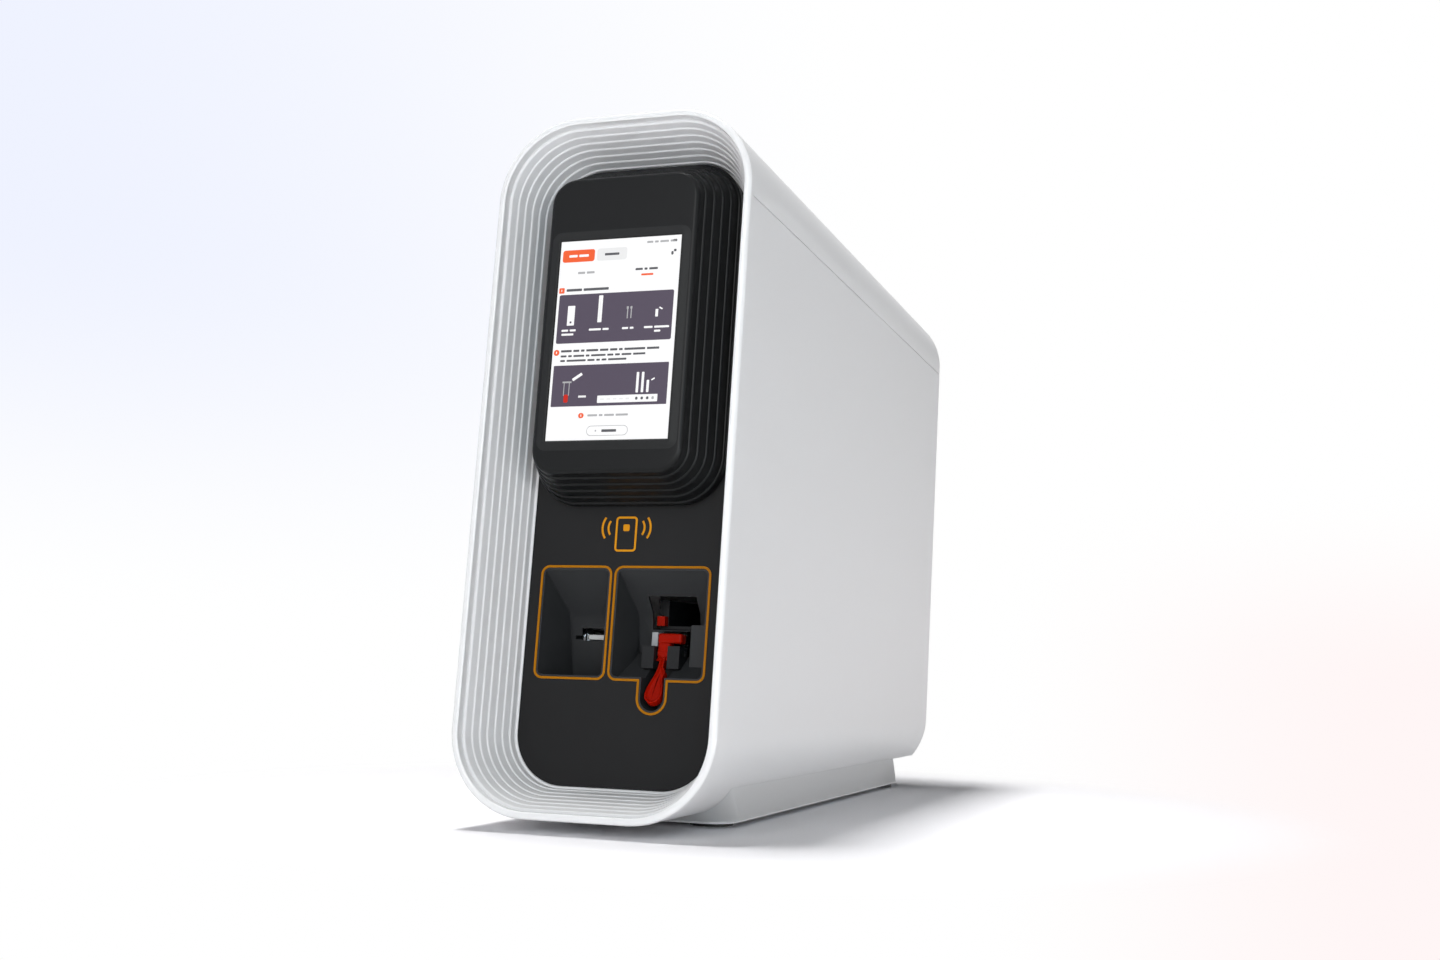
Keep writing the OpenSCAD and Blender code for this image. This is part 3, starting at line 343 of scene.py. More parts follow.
def carve(piece: bpy.types.Object, cutter: Shaper, place: Place, sharp: float = 32.0) -> None:
    """Cuts a shape out of a finished piece and marks its new sharp edges.

    Args:
        piece: the piece to cut.
        cutter: the closed shape to take away.
        place: the place that the cutter is drawn in.
        sharp: angle in degrees from which an edge stays sharp.
    """
    bmesh.ops.transform(cutter.bm, matrix=place.matrix(), verts=cutter.bm.verts)
    bmesh.ops.recalc_face_normals(cutter.bm, faces=cutter.bm.faces)
    block = add_object("cutter", cutter.bm)
    work = bpy.data.objects.new("carved", piece.data.copy())
    bpy.context.scene.collection.objects.link(work)
    cut = work.modifiers.new("cut", "BOOLEAN")
    cut.operation, cut.solver, cut.object = "DIFFERENCE", "EXACT", block
    graph = bpy.context.evaluated_depsgraph_get()
    graph.update()
    shaped = bmesh.new()
    shaped.from_mesh(work.evaluated_get(graph).to_mesh())
    bpy.data.objects.remove(work)
    bpy.data.objects.remove(block)
    mark_sharp(shaped, sharp)
    shaped.to_mesh(piece.data)
    shaped.free()
    piece.data.update()


class Graph:
    """A shader node tree with short calls for the nodes that are used here."""

    def __init__(self, tree: bpy.types.NodeTree) -> None:
        """Takes the tree that the calls add to."""
        self.tree = tree
        self.nodes = tree.nodes

    def feed(self, node: bpy.types.Node, inputs: dict[str | int, Source]) -> None:
        """Links sockets into a node's inputs, by name or number, or sets them to plain values."""
        for key, value in inputs.items():
            if isinstance(value, bpy.types.NodeSocket):
                self.tree.links.new(value, node.inputs[key])
            else:
                node.inputs[key].default_value = value

    def add(self, kind: str, inputs: dict[str | int, Source],
            **settings: object) -> bpy.types.Node:
        """Adds a node.

        Args:
            kind: its type, without the ShaderNode in front.
            inputs: what its inputs take, by name or number.
            settings: its own properties.

        Returns:
            The new node.
        """
        node = self.nodes.new(f"ShaderNode{kind}")
        for name, value in settings.items():
            setattr(node, name, value)
        self.feed(node, inputs)
        return node

    def math(self, operation: str, *values: Source) -> bpy.types.NodeSocket:
        """Adds a sum, product or other reckoning of values and returns its result."""
        return self.add("Math", dict(enumerate(values)), operation=operation).outputs[0]

    def scaled(self, color: Source, factor: Source) -> bpy.types.NodeSocket:
        """Adds a colour times a factor and returns the product."""
        return self.add("VectorMath", {0: color, "Scale": factor}, operation="SCALE").outputs[0]

    def coords(self, space: str = "Object") -> bpy.types.NodeSocket:
        """Adds the coordinates of a space and returns them."""
        return self.add("TexCoord", {}).outputs[space]

    def noise(self, place: Source, scale: Source, detail: float) -> bpy.types.NodeSocket:
        """Adds a noise between 0 and 1 and returns it."""
        inputs = {"Vector": place, "Scale": scale, "Detail": detail}
        return self.add("TexNoise", inputs).outputs["Fac"]

    def step(self, value: Source, low: Source, high: Source, to_low: Source = 0.0,
             to_high: Source = 1.0) -> bpy.types.NodeSocket:
        """Adds a smooth step of a value.

        Args:
            value: the value to look at.
            low: the number where the step starts.
            high: the number where it ends.
            to_low: the result before the step.
            to_high: the result after it.

        Returns:
            The step's socket.
        """
        inputs = {"Value": value, "From Min": low, "From Max": high, "To Min": to_low,
                  "To Max": to_high}
        return self.add("MapRange", inputs, interpolation_type="SMOOTHSTEP").outputs[0]

    def bump(self, height: Source, strength: float, distance: float) -> bpy.types.NodeSocket:
        """Adds a bump from a height and returns the new normal."""
        inputs = {"Height": height, "Strength": strength, "Distance": distance}
        return self.add("Bump", inputs).outputs["Normal"]


Fill = Callable[[Graph, bpy.types.NodeOutputs], dict[str, bpy.types.NodeSocket]]


class Effects:
    """Shader node groups that several finishes share, each built once."""

    def __init__(self) -> None:
        """Starts with no group built."""
        self.built: dict[str, bpy.types.NodeTree] = {}

    def _group(self, name: str, inputs: dict[str, Source], outputs: Sequence[str],
               fill: Fill) -> bpy.types.NodeTree:
        """Returns a group, which is built on its first use.

        Args:
            name: the group's name.
            inputs: its inputs with their defaults: numbers, vectors or colours.
            outputs: its outputs, Color and plain numbers.
            fill: adds its nodes and returns the socket for each output.

        Returns:
            The group.
        """
        if name in self.built:
            return self.built[name]
        tree = bpy.data.node_groups.new(name, "ShaderNodeTree")
        for label, value in inputs.items():
            kind = "Float" if isinstance(value, float) else "Color" if len(value) == 4 else "Vector"
            socket = tree.interface.new_socket(name=label, in_out="INPUT",
                                               socket_type=f"NodeSocket{kind}")
            socket.default_value = value
        for label in outputs:
            kind = "Color" if label == "Color" else "Float"
            tree.interface.new_socket(name=label, in_out="OUTPUT", socket_type=f"NodeSocket{kind}")
        source, sink = tree.nodes.new("NodeGroupInput"), tree.nodes.new("NodeGroupOutput")
        graph = Graph(tree)
        graph.feed(sink, fill(graph, source.outputs))
        self.built[name] = tree
        return tree

    def _uneven(self, graph: Graph, given: bpy.types.NodeOutputs, tone: Source, rough: Source,
                height: Source) -> dict[str, bpy.types.NodeSocket]:
        """Adds an uneven colour and roughness.

        Args:
            graph: the group's graph.
            given: the group's inputs.
            tone: noise around 0 that lightens and darkens.
            rough: noise around 0 that dulls and polishes.
            height: the height to hand on.

        Returns:
            The socket for each output.
        """
        factor = graph.math("MULTIPLY_ADD", tone, given["Tone"], 1.0)
        return {"Color": graph.scaled(given["Color"], factor),
                "Roughness": graph.math("MULTIPLY_ADD", rough, given["Spread"], given["Roughness"]),
                "Height": height}

    def grain(self) -> bpy.types.NodeTree:
        """Returns the group for a moulded or coated grain: colour, roughness and height."""
        def fill(graph: Graph, given: bpy.types.NodeOutputs) -> dict[str, bpy.types.NodeSocket]:
            """Mixes a fine grain with wide clouds."""
            place = graph.coords()
            fine = graph.noise(place, given["Grain per metre"], 3.0)
            cloud = graph.noise(place, given["Cloud per metre"], 4.0)
            both = graph.math("SUBTRACT", graph.math("ADD", fine, cloud), 1.0)
            return self._uneven(graph, given, graph.math("SUBTRACT", cloud, 0.5), both, fine)

        inputs = {"Color": (0.8, 0.8, 0.8, 1.0), "Grain per metre": 900.0, "Cloud per metre": 9.0,
                  "Tone": 0.03, "Roughness": 0.4, "Spread": 0.05}
        return self._group("surface_grain", inputs, ("Color", "Roughness", "Height"), fill)

    def brushed(self) -> bpy.types.NodeTree:
        """Returns the group for drawn or ground metal: fine lines across one direction."""
        def fill(graph: Graph, given: bpy.types.NodeOutputs) -> dict[str, bpy.types.NodeSocket]:
            """Stretches a noise into lines."""
            stretched = graph.add("VectorMath", {0: graph.coords(), 1: given["Stretch"]},
                                  operation="MULTIPLY").outputs[0]
            lines = graph.noise(stretched, 1.0, 4.0)
            shift = graph.math("SUBTRACT", lines, 0.5)
            return self._uneven(graph, given, shift, shift, lines)

        inputs = {"Color": (0.6, 0.6, 0.6, 1.0), "Stretch": (40.0, 900.0, 900.0), "Tone": 0.12,
                  "Roughness": 0.3, "Spread": 0.15}
        return self._group("drawn_lines", inputs, ("Color", "Roughness", "Height"), fill)

    def recess(self) -> bpy.types.NodeTree:
        """Returns the group that paints shade on what lies deep behind the front face: darker and
        duller with depth.
        """
        def fill(graph: Graph, given: bpy.types.NodeOutputs) -> dict[str, bpy.types.NodeSocket]:
            """Paints shade by the depth behind the leaning front plane."""
            inward = (0.0, math.cos(FRONT_LEAN), -math.sin(FRONT_LEAN))
            depth = graph.add("VectorMath", {0: graph.coords(), 1: inward},
                              operation="DOT_PRODUCT").outputs["Value"]
            # painted shade: full colour at Start, down to Darkest at End, and duller with it
            shade = graph.step(depth, given["Start"], given["End"], 1.0, given["Darkest"])
            dull = graph.math("SUBTRACT", 1.0, shade)
            return {"Color": graph.scaled(given["Color"], shade),
                    "Roughness": graph.math("MULTIPLY_ADD", dull, 0.5, given["Roughness"])}

        inputs = {"Color": (0.1, 0.1, 0.1, 1.0), "Roughness": 0.4, "Start": 0.0, "End": 0.01,
                  "Darkest": 0.15}
        return self._group("painted_recess_shade", inputs, ("Color", "Roughness"), fill)


@dataclass(frozen=True)
class Finish:
    """A coated, moulded or rubber surface with a fine grain, and optional painted shade deep behind
    the front face.
    """

    name: str
    color: Color
    roughness: float
    spread: float = 0.06
    tone: float = 0.03
    grain: float = 1500.0
    bump: float = 0.02
    coat: float = 0.0
    specular: float = 0.5
    metallic: float = 0.0
    glow: float = 0.0
    dim: float = 1.0
    # depths in mm behind the front plane where painted shade starts and is darkest, or None for none
    recess: Span | None = None

    def build(self, effects: Effects) -> bpy.types.Material:
        """Makes the material from the shared node groups."""
        material = bpy.data.materials.new(self.name)
        material.use_nodes = True
        graph = Graph(material.node_tree)
        inputs = {"Color": (*(c * self.dim for c in self.color), 1.0), "Tone": self.tone,
                  "Grain per metre": self.grain, "Roughness": self.roughness,
                  "Spread": self.spread}
        grain = shade = graph.add("Group", inputs, node_tree=effects.grain())
        # painted shade: darkens and dulls what lies deep behind the front face
        if self.recess:
            origin = FRONT_Y * math.cos(FRONT_LEAN) - BODY_Z * math.sin(FRONT_LEAN)
            start, end = ((origin + depth) * MM for depth in self.recess)
            inputs = {"Start": start, "End": end, "Color": grain.outputs["Color"],
                      "Roughness": grain.outputs["Roughness"]}
            shade = graph.add("Group", inputs, node_tree=effects.recess())
        looks = {"Base Color": shade.outputs["Color"], "Roughness": shade.outputs["Roughness"],
                 "Normal": graph.bump(grain.outputs["Height"], self.bump, 0.0004),
                 "Coat Weight": self.coat, "Coat Roughness": 0.12,
                 "Specular IOR Level": self.specular, "Metallic": self.metallic}
        if self.glow > 0:
            looks |= {"Emission Color": (*self.color, 1.0), "Emission Strength": self.glow}
        graph.feed(graph.nodes["Principled BSDF"], looks)
        return material


@dataclass(frozen=True)
class Metal:
    """A drawn, ground or turned metal surface."""

    name: str
    color: Color
    roughness: float
    stretch: Point = (40.0, 900.0, 900.0)

    def build(self, effects: Effects) -> bpy.types.Material:
        """Makes the material from the shared node groups."""
        material = bpy.data.materials.new(self.name)
        material.use_nodes = True
        graph = Graph(material.node_tree)
        inputs = {"Color": (*self.color, 1.0), "Stretch": self.stretch,
                  "Roughness": self.roughness}
        lines = graph.add("Group", inputs, node_tree=effects.brushed()).outputs
        graph.feed(graph.nodes["Principled BSDF"], {
            "Base Color": lines["Color"], "Roughness": lines["Roughness"], "Metallic": 1.0,
            "Normal": graph.bump(lines["Height"], 0.02, 0.0003)})
        return material


FINISHES: dict[str, Finish | Metal] = {
    "casing_white": Finish("casing_powder_coat", (0.72, 0.72, 0.725), 0.42, tone=0.015, bump=0.03),
    "rim_white": Finish("rim_white_gloss", (0.84, 0.84, 0.84), 0.25, tone=0.01, bump=0.01,
                        coat=0.3),
    "bezel_grey": Finish("bezel_light_grey", (0.77, 0.77, 0.775), 0.5, tone=0.015, specular=0.2),
    "panel_black": Finish("panel_satin_black", (0.0125, 0.0125, 0.013), 0.5, tone=0.08, bump=0.05,
                          specular=0.13),
    "pod_black": Finish("pod_soft_black", (0.0095, 0.0100, 0.0105), 0.3, tone=0.08, bump=0.03,
                        specular=0.14),
    "frame_charcoal": Finish("frame_charcoal", (0.020, 0.0205, 0.021), 0.45, tone=0.08, bump=0.05,
                             specular=0.12),
    "screen_glass": Finish("screen_border_glass", (0.008, 0.008, 0.009), 0.06, bump=0.0, coat=1.0),
    "sheet_metal": Metal("zinc_sheet", (0.55, 0.56, 0.57), 0.34, (300.0, 20.0, 300.0)),
    "outline_orange": Finish("outline_orange_gloss", (0.40, 0.148, 0.001), 0.4, tone=0.04,
                             specular=0.12),
    "steel_bright": Metal("ground_steel", (0.62, 0.62, 0.63), 0.22),
    "lever_red": Finish("lever_glossy_red", (0.34, 0.006, 0.0004), 0.26, tone=0.05, bump=0.01,
                        specular=0.07),
    "sensor_grey": Finish("sensor_grey_plastic", (0.32, 0.33, 0.34), 0.4),
    "tray_white": Finish("tray_white_plastic", (0.60, 0.60, 0.59), 0.4, tone=0.02, specular=0.3),
    "anodised_dark": Metal("dark_anodised", (0.10, 0.11, 0.12), 0.4, (400.0, 60.0, 400.0)),
    "belt_rubber": Finish("belt_rubber", (0.02, 0.02, 0.02), 0.7, grain=2500.0, bump=0.2),
    "pulley_aluminium": Metal("turned_aluminium", (0.68, 0.68, 0.69), 0.28, (1200.0, 60.0, 60.0)),
    "motor_black": Finish("motor_enamel", (0.03, 0.03, 0.033), 0.4, bump=0.06),
    "carriage_black": Finish("glass_filled_black", (0.010, 0.010, 0.011), 0.5, tone=0.1, bump=0.1,
                             specular=0.2),
    "lens_barrel": Finish("lens_barrel_black", (0.02, 0.02, 0.022), 0.3, metallic=0.6),
    "board_green": Finish("solder_mask_green", (0.012, 0.10, 0.04), 0.3, grain=700.0, bump=0.05,
                          coat=0.4),
    "rear_grey": Finish("rear_powder_coat", (0.50, 0.51, 0.52), 0.45, bump=0.08),
    "plinth_grey": Finish("plinth_satin_grey", (0.61, 0.61, 0.61), 0.42, bump=0.04),
    "base_white": Finish("base_edge_white", (0.80, 0.80, 0.81), 0.3),
    "foot_rubber": Finish("foot_rubber", (0.018, 0.018, 0.018), 0.65, grain=2200.0, bump=0.25),
}
# Own charcoal of the bay liners, with painted shade that darkens them from 76 to 80 mm behind the
# front.
BAY_CHARCOAL_DEPTH_SHADED = Finish("bay_charcoal_depth_shaded", (0.025, 0.026, 0.0275), 0.42, tone=0.06, bump=0.04,
                      specular=0.2, recess=(76.0, 80.0))
# A darker copy of the frame's charcoal for the lever's posts deep in the bay: painted shade.
POSTS_SHADED_CHARCOAL = Finish("posts_shaded_charcoal", (0.0135, 0.014, 0.015), 0.45, tone=0.06, bump=0.04,
                        specular=0.15)
NODE_FINISHES = {"slide_bay_liner": BAY_CHARCOAL_DEPTH_SHADED, "cartridge_bay_liner": BAY_CHARCOAL_DEPTH_SHADED,
                 "lever_posts": POSTS_SHADED_CHARCOAL}
SIGN_INK = Finish("sign_orange_ink", (0.66, 0.265, 0.004), 0.45, bump=0.03, specular=0.15)


class Wardrobe:
    """The built materials, by the record's slot and by the names of extra finishes."""

    def __init__(self) -> None:
        """Builds every finish of the record."""
        self.effects = Effects()
        self.built = {slot: finish.build(self.effects) for slot, finish in FINISHES.items()}

    def __getitem__(self, slot: str) -> bpy.types.Material:
        """Returns the material of a slot."""
        return self.built[slot]

    def extra(self, finish: Finish) -> bpy.types.Material:
        """Builds a finish that the record has no slot for, or returns it if it is there."""
        if finish.name not in self.built:
            self.built[finish.name] = finish.build(self.effects)
        return self.built[finish.name]

    def dress_nodes(self) -> None:
        """Gives every carried-over node the material of its slot, or its own one, which paints shade
        on the bay liners and the lever's posts.
        """
        for part in frame["record"]["subparts"]:
            own = NODE_FINISHES.get(part["node"])
            material = self.extra(own) if own else self[part["material_slot"]]
            materials = frame["nodes"][part["node"]].data.materials
            materials.clear()
            materials.append(material)
            LOG.info("node %s in %s", part["node"], part["material_slot"])


@dataclass
class SoftEdges:
    """Twins of visible solids with edges as round as moulded, milled or pressed ones."""

    radius: dict[str, float] = field(default_factory=lambda: {
        "slide_bay_liner": 1.5, "cartridge_bay_liner": 1.3, "lever_posts": 0.6,
        "strip_sensor": 0.5, "latch_hook": 0.5, "slide_tray": 0.3, "base_plate": 0.6,
        "rear_panel": 0.3, "power_inlet": 0.4, "switch_frame": 0.4, "power_rocker": 0.4,
        "rear_ports": 0.15, "fan_frame": 0.3, "rubber_feet": 0.7, "rear_screws": 0.15})
    angle: float = 35.0
    flat_angle: float = 0.6

    def build(self, wardrobe: Wardrobe) -> None:
        """Builds every rounded twin."""
        slots = {part["node"]: part["material_slot"] for part in frame["record"]["subparts"]}
        for node, radius in self.radius.items():
            solid = frame["nodes"][node]
            shaper = Shaper()
            bm = shaper.bm
            bm.from_mesh(solid.data)
            bmesh.ops.remove_doubles(bm, verts=bm.verts, dist=1e-6)
            bmesh.ops.dissolve_limit(bm, angle_limit=math.radians(self.flat_angle),
                                     verts=bm.verts, edges=bm.edges)
            shaper.soften(self.angle, radius * MM, clamp=True)
            shaper.finish(f"{node}_rounded", Place.FRAME, wardrobe, slots[node], [node],
                          solid["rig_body"], list(solid.data.materials), recalc=False)


@dataclass
class Casing:
    """Leaning casing: lower shell, top cover, the seam between them and the heel's floor."""

    wall: float = 3.0
    seam: float = 375.0
    gap: float = 0.5
    corner_segments: int = 28
    edge: float = 0.5
    lap_wall: Span = (2.8, 4.5)
    lap_low: float = 8.0
    lap_high: float = 5.0
    lap_back: Span = (RIM_D + 30.0, 20.0)
    floor_thick: float = 2.0
    floor_gap: float = 0.4
    corner_angle: float = 60.0

    def section(self, shaper: Shaper, wall: Span, rise: Span, front: float, rear: float) -> None:
        """Adds a length of the casing's wall between two heights.

        Args:
            shaper: the mesh to add to.
            wall: insets of the outer and the inner face.
            rise: lowest and highest height.
            front: distance behind the front plane.
            rear: distance before the rear plane.
        """
        bm = shaper.bm
        before = set(bm.verts)
        shaper.stack([UPRIGHT.inset(inset, 0.0) for inset in wall], self.corner_segments)
        for height, up in zip(rise, (-1.0, 1.0)):
            part = shaper.since(before)
            edges = list(dict.fromkeys(e for v in part for e in v.link_edges))
            geom = part + edges + faces_at(part)
            bmesh.ops.bisect_plane(bm, geom=geom, dist=1e-5, plane_co=(0, height, 0),
                                   plane_no=(0, up, 0), clear_outer=True)
        near = shaper.since(before)
        far = shaper.extrude(faces_at(near))
        for verts, lean, back in ((near, FRONT_LEAN, front / math.cos(FRONT_LEAN)),
                                  (far, REAR_LEAN, BODY_D - rear / math.cos(REAR_LEAN))):
            shear = Matrix.Identity(4)
            shear[2][1], shear[2][3] = -math.tan(lean), -back
            bmesh.ops.transform(bm, matrix=shear, verts=verts)

    def heel_floor(self, wardrobe: Wardrobe) -> None:
        """Builds the flat floor over the heel, between the side walls."""
        missing = CORNER_R - (HEEL_Z + self.floor_thick / 2)
        half = BODY_W / 2 - CORNER_R + math.sqrt(CORNER_R**2 - missing**2) - self.floor_gap
        ring = Ring(-half, HEEL_Y - 2.0, half, BODY_D - 0.6, 0.5, HEEL_Z)
        shaper = Shaper()
        shaper.plate(ring, self.floor_thick, 0.3)
        shaper.finish("heel_floor", Place.BODY, wardrobe, "casing_white")

    def build(self, wardrobe: Wardrobe) -> None:
        """Builds the floor, the lower shell with its lap behind the seam, and the top cover."""
        self.heel_floor(wardrobe)
        behind_rim = RIM_D + FIT
        for name, low, high, node in (
                ("casing_shell", -1.0, self.seam - self.gap / 2, "lower_shell"),
                ("casing_top", self.seam + self.gap / 2, BODY_H + 1, "top_cover")):
            shaper = Shaper()
            self.section(shaper, (0.0, self.wall), (low, high), behind_rim, 0.0)
            bmesh.ops.recalc_face_normals(shaper.bm, faces=shaper.bm.faces)
            shaper.soften(self.corner_angle, self.edge)
            if node == "lower_shell":
                lap = (self.seam - self.lap_low, self.seam + self.lap_high)
                self.section(shaper, self.lap_wall, lap, *self.lap_back)
            piece = shaper.finish(name, Place.RISE, wardrobe, "casing_white", [node])
            if node == "lower_shell":
                heel = Shaper()
                heel.box((-BODY_W, HEEL_Y, -20.0), (BODY_W, BODY_D + 60, HEEL_Z))
                carve(piece, heel, Place.BODY)


@dataclass
class Surround:
    """White rim and the stepped bezel that leads in to the black panel."""

    nose: float = 1.0
    fillet: float = 0.85
    inner_r: float = 1.0
    cone_share: float = 0.62
    cone_ends: float = 8.0
    corner_segments: int = 24
    lip: float = 0.6
    back: float = 2.6
    wall: float = 1.8
    outline: Ring = Ring(-BODY_W / 2, 0.0, BODY_W / 2, FRONT_LEN, CORNER_R)

    def rim(self, wardrobe: Wardrobe) -> None:
        """Builds the rim with its rounded outer edge and the casing's white on its outside."""
        rings = [self.outline.inset(0.0, -RIM_D)]
        rings += [self.outline.inset(inward, -down) for down, inward in rounding(RIM_EDGE_R, 8)]
        rings += [self.outline.inset(RIM_W - outward, -down)
                  for outward, down in rounding(self.inner_r, 4)]
        rings.append(self.outline.inset(RIM_W, -RIM_D))
        shaper = Shaper()
        shaper.stack(rings, self.corner_segments, closed=True)
        for face in shaper.bm.faces:
            spot = face.calc_center_median()
            if spot.z < -RIM_EDGE_R and abs(face.normal.z) < 0.2 and self.is_outer(spot):
                face.material_index = 1
        shaper.finish("rim_ring", Place.FRONT, wardrobe, "rim_white", ["front_rim"],
                      materials=[wardrobe["rim_white"], wardrobe["casing_white"]])

    def is_outer(self, spot: Vector) -> bool:
        """Returns whether a point lies on the outer half of the rim's width."""
        inner = self.outline.inset(RIM_W / 2, 0.0)
        over_x = max(abs(spot.x) - (inner.x1 - inner.r), 0.0)
        middle = (inner.y0 + inner.y1) / 2
        over_y = max(abs(spot.y - middle) - ((inner.y1 - inner.y0) / 2 - inner.r), 0.0)
        return math.hypot(over_x, over_y) > inner.r

    def profile(self) -> list[Span]:
        """Returns the steps as pairs of inset and depth, from the rim inward."""
        points = [(RIM_W - self.lip, RIM_D + FIT)]
        for k in range(1, STEPS + 1):
            inset = RIM_W + k * STEP_IN
            depth = RIM_D + FIT if k == 1 else k * STEP_DEEP
            points += [(inset - out, depth + down) for out, down in rounding(self.nose, 5)]
            if k < STEPS:
                below = (k + 1) * STEP_DEEP
                points += [(inset + inward, below - up) for up, inward in rounding(self.fillet, 4)]
        return [self.toward_cone(*point) for point in points]

    def toward_cone(self, inset: float, depth: float) -> Span:
        """Moves a point of the profile part of the way to the straight cone, to calm the steps.

        Args:
            inset: the point's inset.
            depth: the point's depth.

        Returns:
            Its new inset and its depth.
        """
        share = min(max((depth - RIM_D) / (PANEL_D - RIM_D), 0.0), 1.0)
        straight = RIM_W + STEP_IN + share * (STEPS - 1) * STEP_IN
        weight = self.cone_share * min(share * self.cone_ends, 1.0, (1.0 - share) * self.cone_ends)
        return inset + weight * (straight - inset), depth

    def bezel(self, wardrobe: Wardrobe) -> None:
        """Builds the stepped bezel."""
        last, back = RIM_W + STEPS * STEP_IN, PANEL_D + self.back
        points = self.profile() + [(last, back), (last - self.wall, back),
                                   (RIM_W - self.lip, RIM_D + FIT + self.wall)]
        shaper = Shaper()
        shaper.stack([self.outline.inset(inset, -depth) for inset, depth in points],
                     self.corner_segments, closed=True)
        shaper.finish("stepped_bezel", Place.FRONT, wardrobe, "bezel_grey", ["ribbed_bezel"])

    def build(self, wardrobe: Wardrobe) -> None:
        """Builds the rim and the bezel."""
        self.rim(wardrobe)
        self.bezel(wardrobe)


@dataclass
class DisplayPod:
    """Pod with its stepped ridges, the soft frame and the screen's glass."""

    half: float = 50.0
    low: float = 206.4
    high: float = 395.5
    radius: float = 16.0
    ridges: int = 5
    side: float = 2.9
    down: float = 2.55
    up: float = 4.0
    edge: float = 3.0
    nose: float = 1.1
    fillet: float = 0.5
    calm: float = 0.55
    corner_segments: int = 20
    bed: Ring = around_screen(2.7, 3.2, 2.2)
    bed_deep: float = 1.3
    pane: Ring = around_screen(2.5, 3.0, 2.0, -POD_FRONT - 1.2)
    pane_thick: float = 1.1
    frame_inner: Ring = around_screen(0.5, 0.5, 0.6)
    frame_lip: float = 0.4
    frame_w: float = 6.3
    frame_rise: float = 0.9
    frame_segments: int = 8

    def outline(self, k: int, inward: float, depth: float) -> Ring:
        """Returns the outline of a layer, with its steps calmed toward a slope.

        Args:
            k: number of the layer.
            inward: distance that every side moves in.
            depth: depth behind the front plane.

        Returns:
            The ring at that depth.
        """
        slope = min(max((depth - POD_FRONT) / self.layer() - 0.5, 0.0), float(self.ridges))
        calm = self.calm * min(max(depth - POD_FRONT - self.edge, 0.0) / self.edge, 1.0)
        grow = k + calm * (slope - k)
        out, down, up = grow * self.side, grow * self.down, grow * self.up
        grown = Ring(-self.half - out, self.low - down, self.half + out, self.high + up,
                     self.radius + out)
        return grown.inset(inward, -depth)

    def layer(self) -> float:
        """Returns the depth of one layer."""
        return (PANEL_D - POD_FRONT) / (self.ridges + 1)

    def shell(self, wardrobe: Wardrobe) -> None:
        """Builds the pod's black body with the bed for the glass."""
        rings = [self.bed.inset(0.0, -POD_FRONT - self.bed_deep), self.bed.inset(0.0, -POD_FRONT)]
        for k in range(self.ridges + 1):
            depth = POD_FRONT + k * self.layer()
            rings += [self.outline(k, inward, depth + behind)
                      for inward, behind in rounding(self.nose if k else self.edge, 6)]
            if k < self.ridges:
                below = depth + self.layer()
                rings.append(self.outline(k, 0.0, below - self.fillet))
                rings.append(self.outline(k, -0.3 * self.fillet, below - 0.3 * self.fillet))
        rings.append(replace(rings[-1], z=-PANEL_D + 0.1))
        shaper = Shaper()
        shaper.stack(rings, self.corner_segments, ends=True)
        shaper.finish("pod_body", Place.FRONT, wardrobe, "pod_black", ["display_pod"])

    def soft_frame(self, wardrobe: Wardrobe) -> None:
        """Builds the soft raised frame round the screen."""
        inner = self.frame_inner
        rings = [inner.inset(0.0, -POD_FRONT - 0.05), inner.inset(0.0, -POD_FRONT + 0.5)]
        for i in range(self.frame_segments + 1):
            share = i / self.frame_segments
            outward = self.frame_lip + (self.frame_w - self.frame_lip) * share
            swell = 0.5 + 0.5 * math.cos(math.pi * share)
            rings.append(inner.inset(-outward, -POD_FRONT + self.frame_rise * swell - 0.03))
        shaper = Shaper()
        shaper.stack(rings, 8, closed=True)
        shaper.finish("screen_frame", Place.FRONT, wardrobe, "frame_charcoal", ["display_frame"],
                      sharp=60.0)

    def glass(self, wardrobe: Wardrobe) -> None:
        """Builds the dark glass that the picture lies on."""
        shaper = Shaper()
        shaper.plate(self.pane, self.pane_thick, 0.15)
        shaper.finish("screen_glass", Place.FRONT, wardrobe, "screen_glass", ["touch_glass"])

    def build(self, wardrobe: Wardrobe) -> None:
        """Builds the pod, its frame and its glass."""
        self.shell(wardrobe)
        self.soft_frame(wardrobe)
        self.glass(wardrobe)


class Tone(Enum):
    """Colours of the picture on the screen."""

    WHITE = (0.93, 0.93, 0.93)
    MIST = (0.80, 0.80, 0.80)
    ORANGE = (0.86, 0.12, 0.035)
    PLUM = (0.088, 0.071, 0.104)
    TEXT = (0.10, 0.10, 0.11)
    FAINT = (0.42, 0.42, 0.43)
    RED = (0.55, 0.02, 0.01)


@dataclass(frozen=True)
class Tile:
    """One flat element of the picture, in shares of the screen from its top left corner."""

    u: float
    v: float
    wide: float
    high: float
    tone: Tone
    level: int = 1
    r: float = 0.0
    turn: float = 0.0


def words(u: float, v: float, lengths: Sequence[float], tone: Tone, high: float = 0.010,
          level: int = 1) -> list[Tile]:
    """Returns a row of short bars that stands for a line of words.

    Args:
        u: left edge.
        v: top edge.
        lengths: length of each bar.
        tone: colour of the bars.
        high: height of the bars.
        level: layer that they lie in.

    Returns:
        The bars.
    """
    row: list[Tile] = []
    for length in lengths:
        row.append(Tile(u, v, length, high, tone, level, 0.35))
        u += length + 0.014
    return row


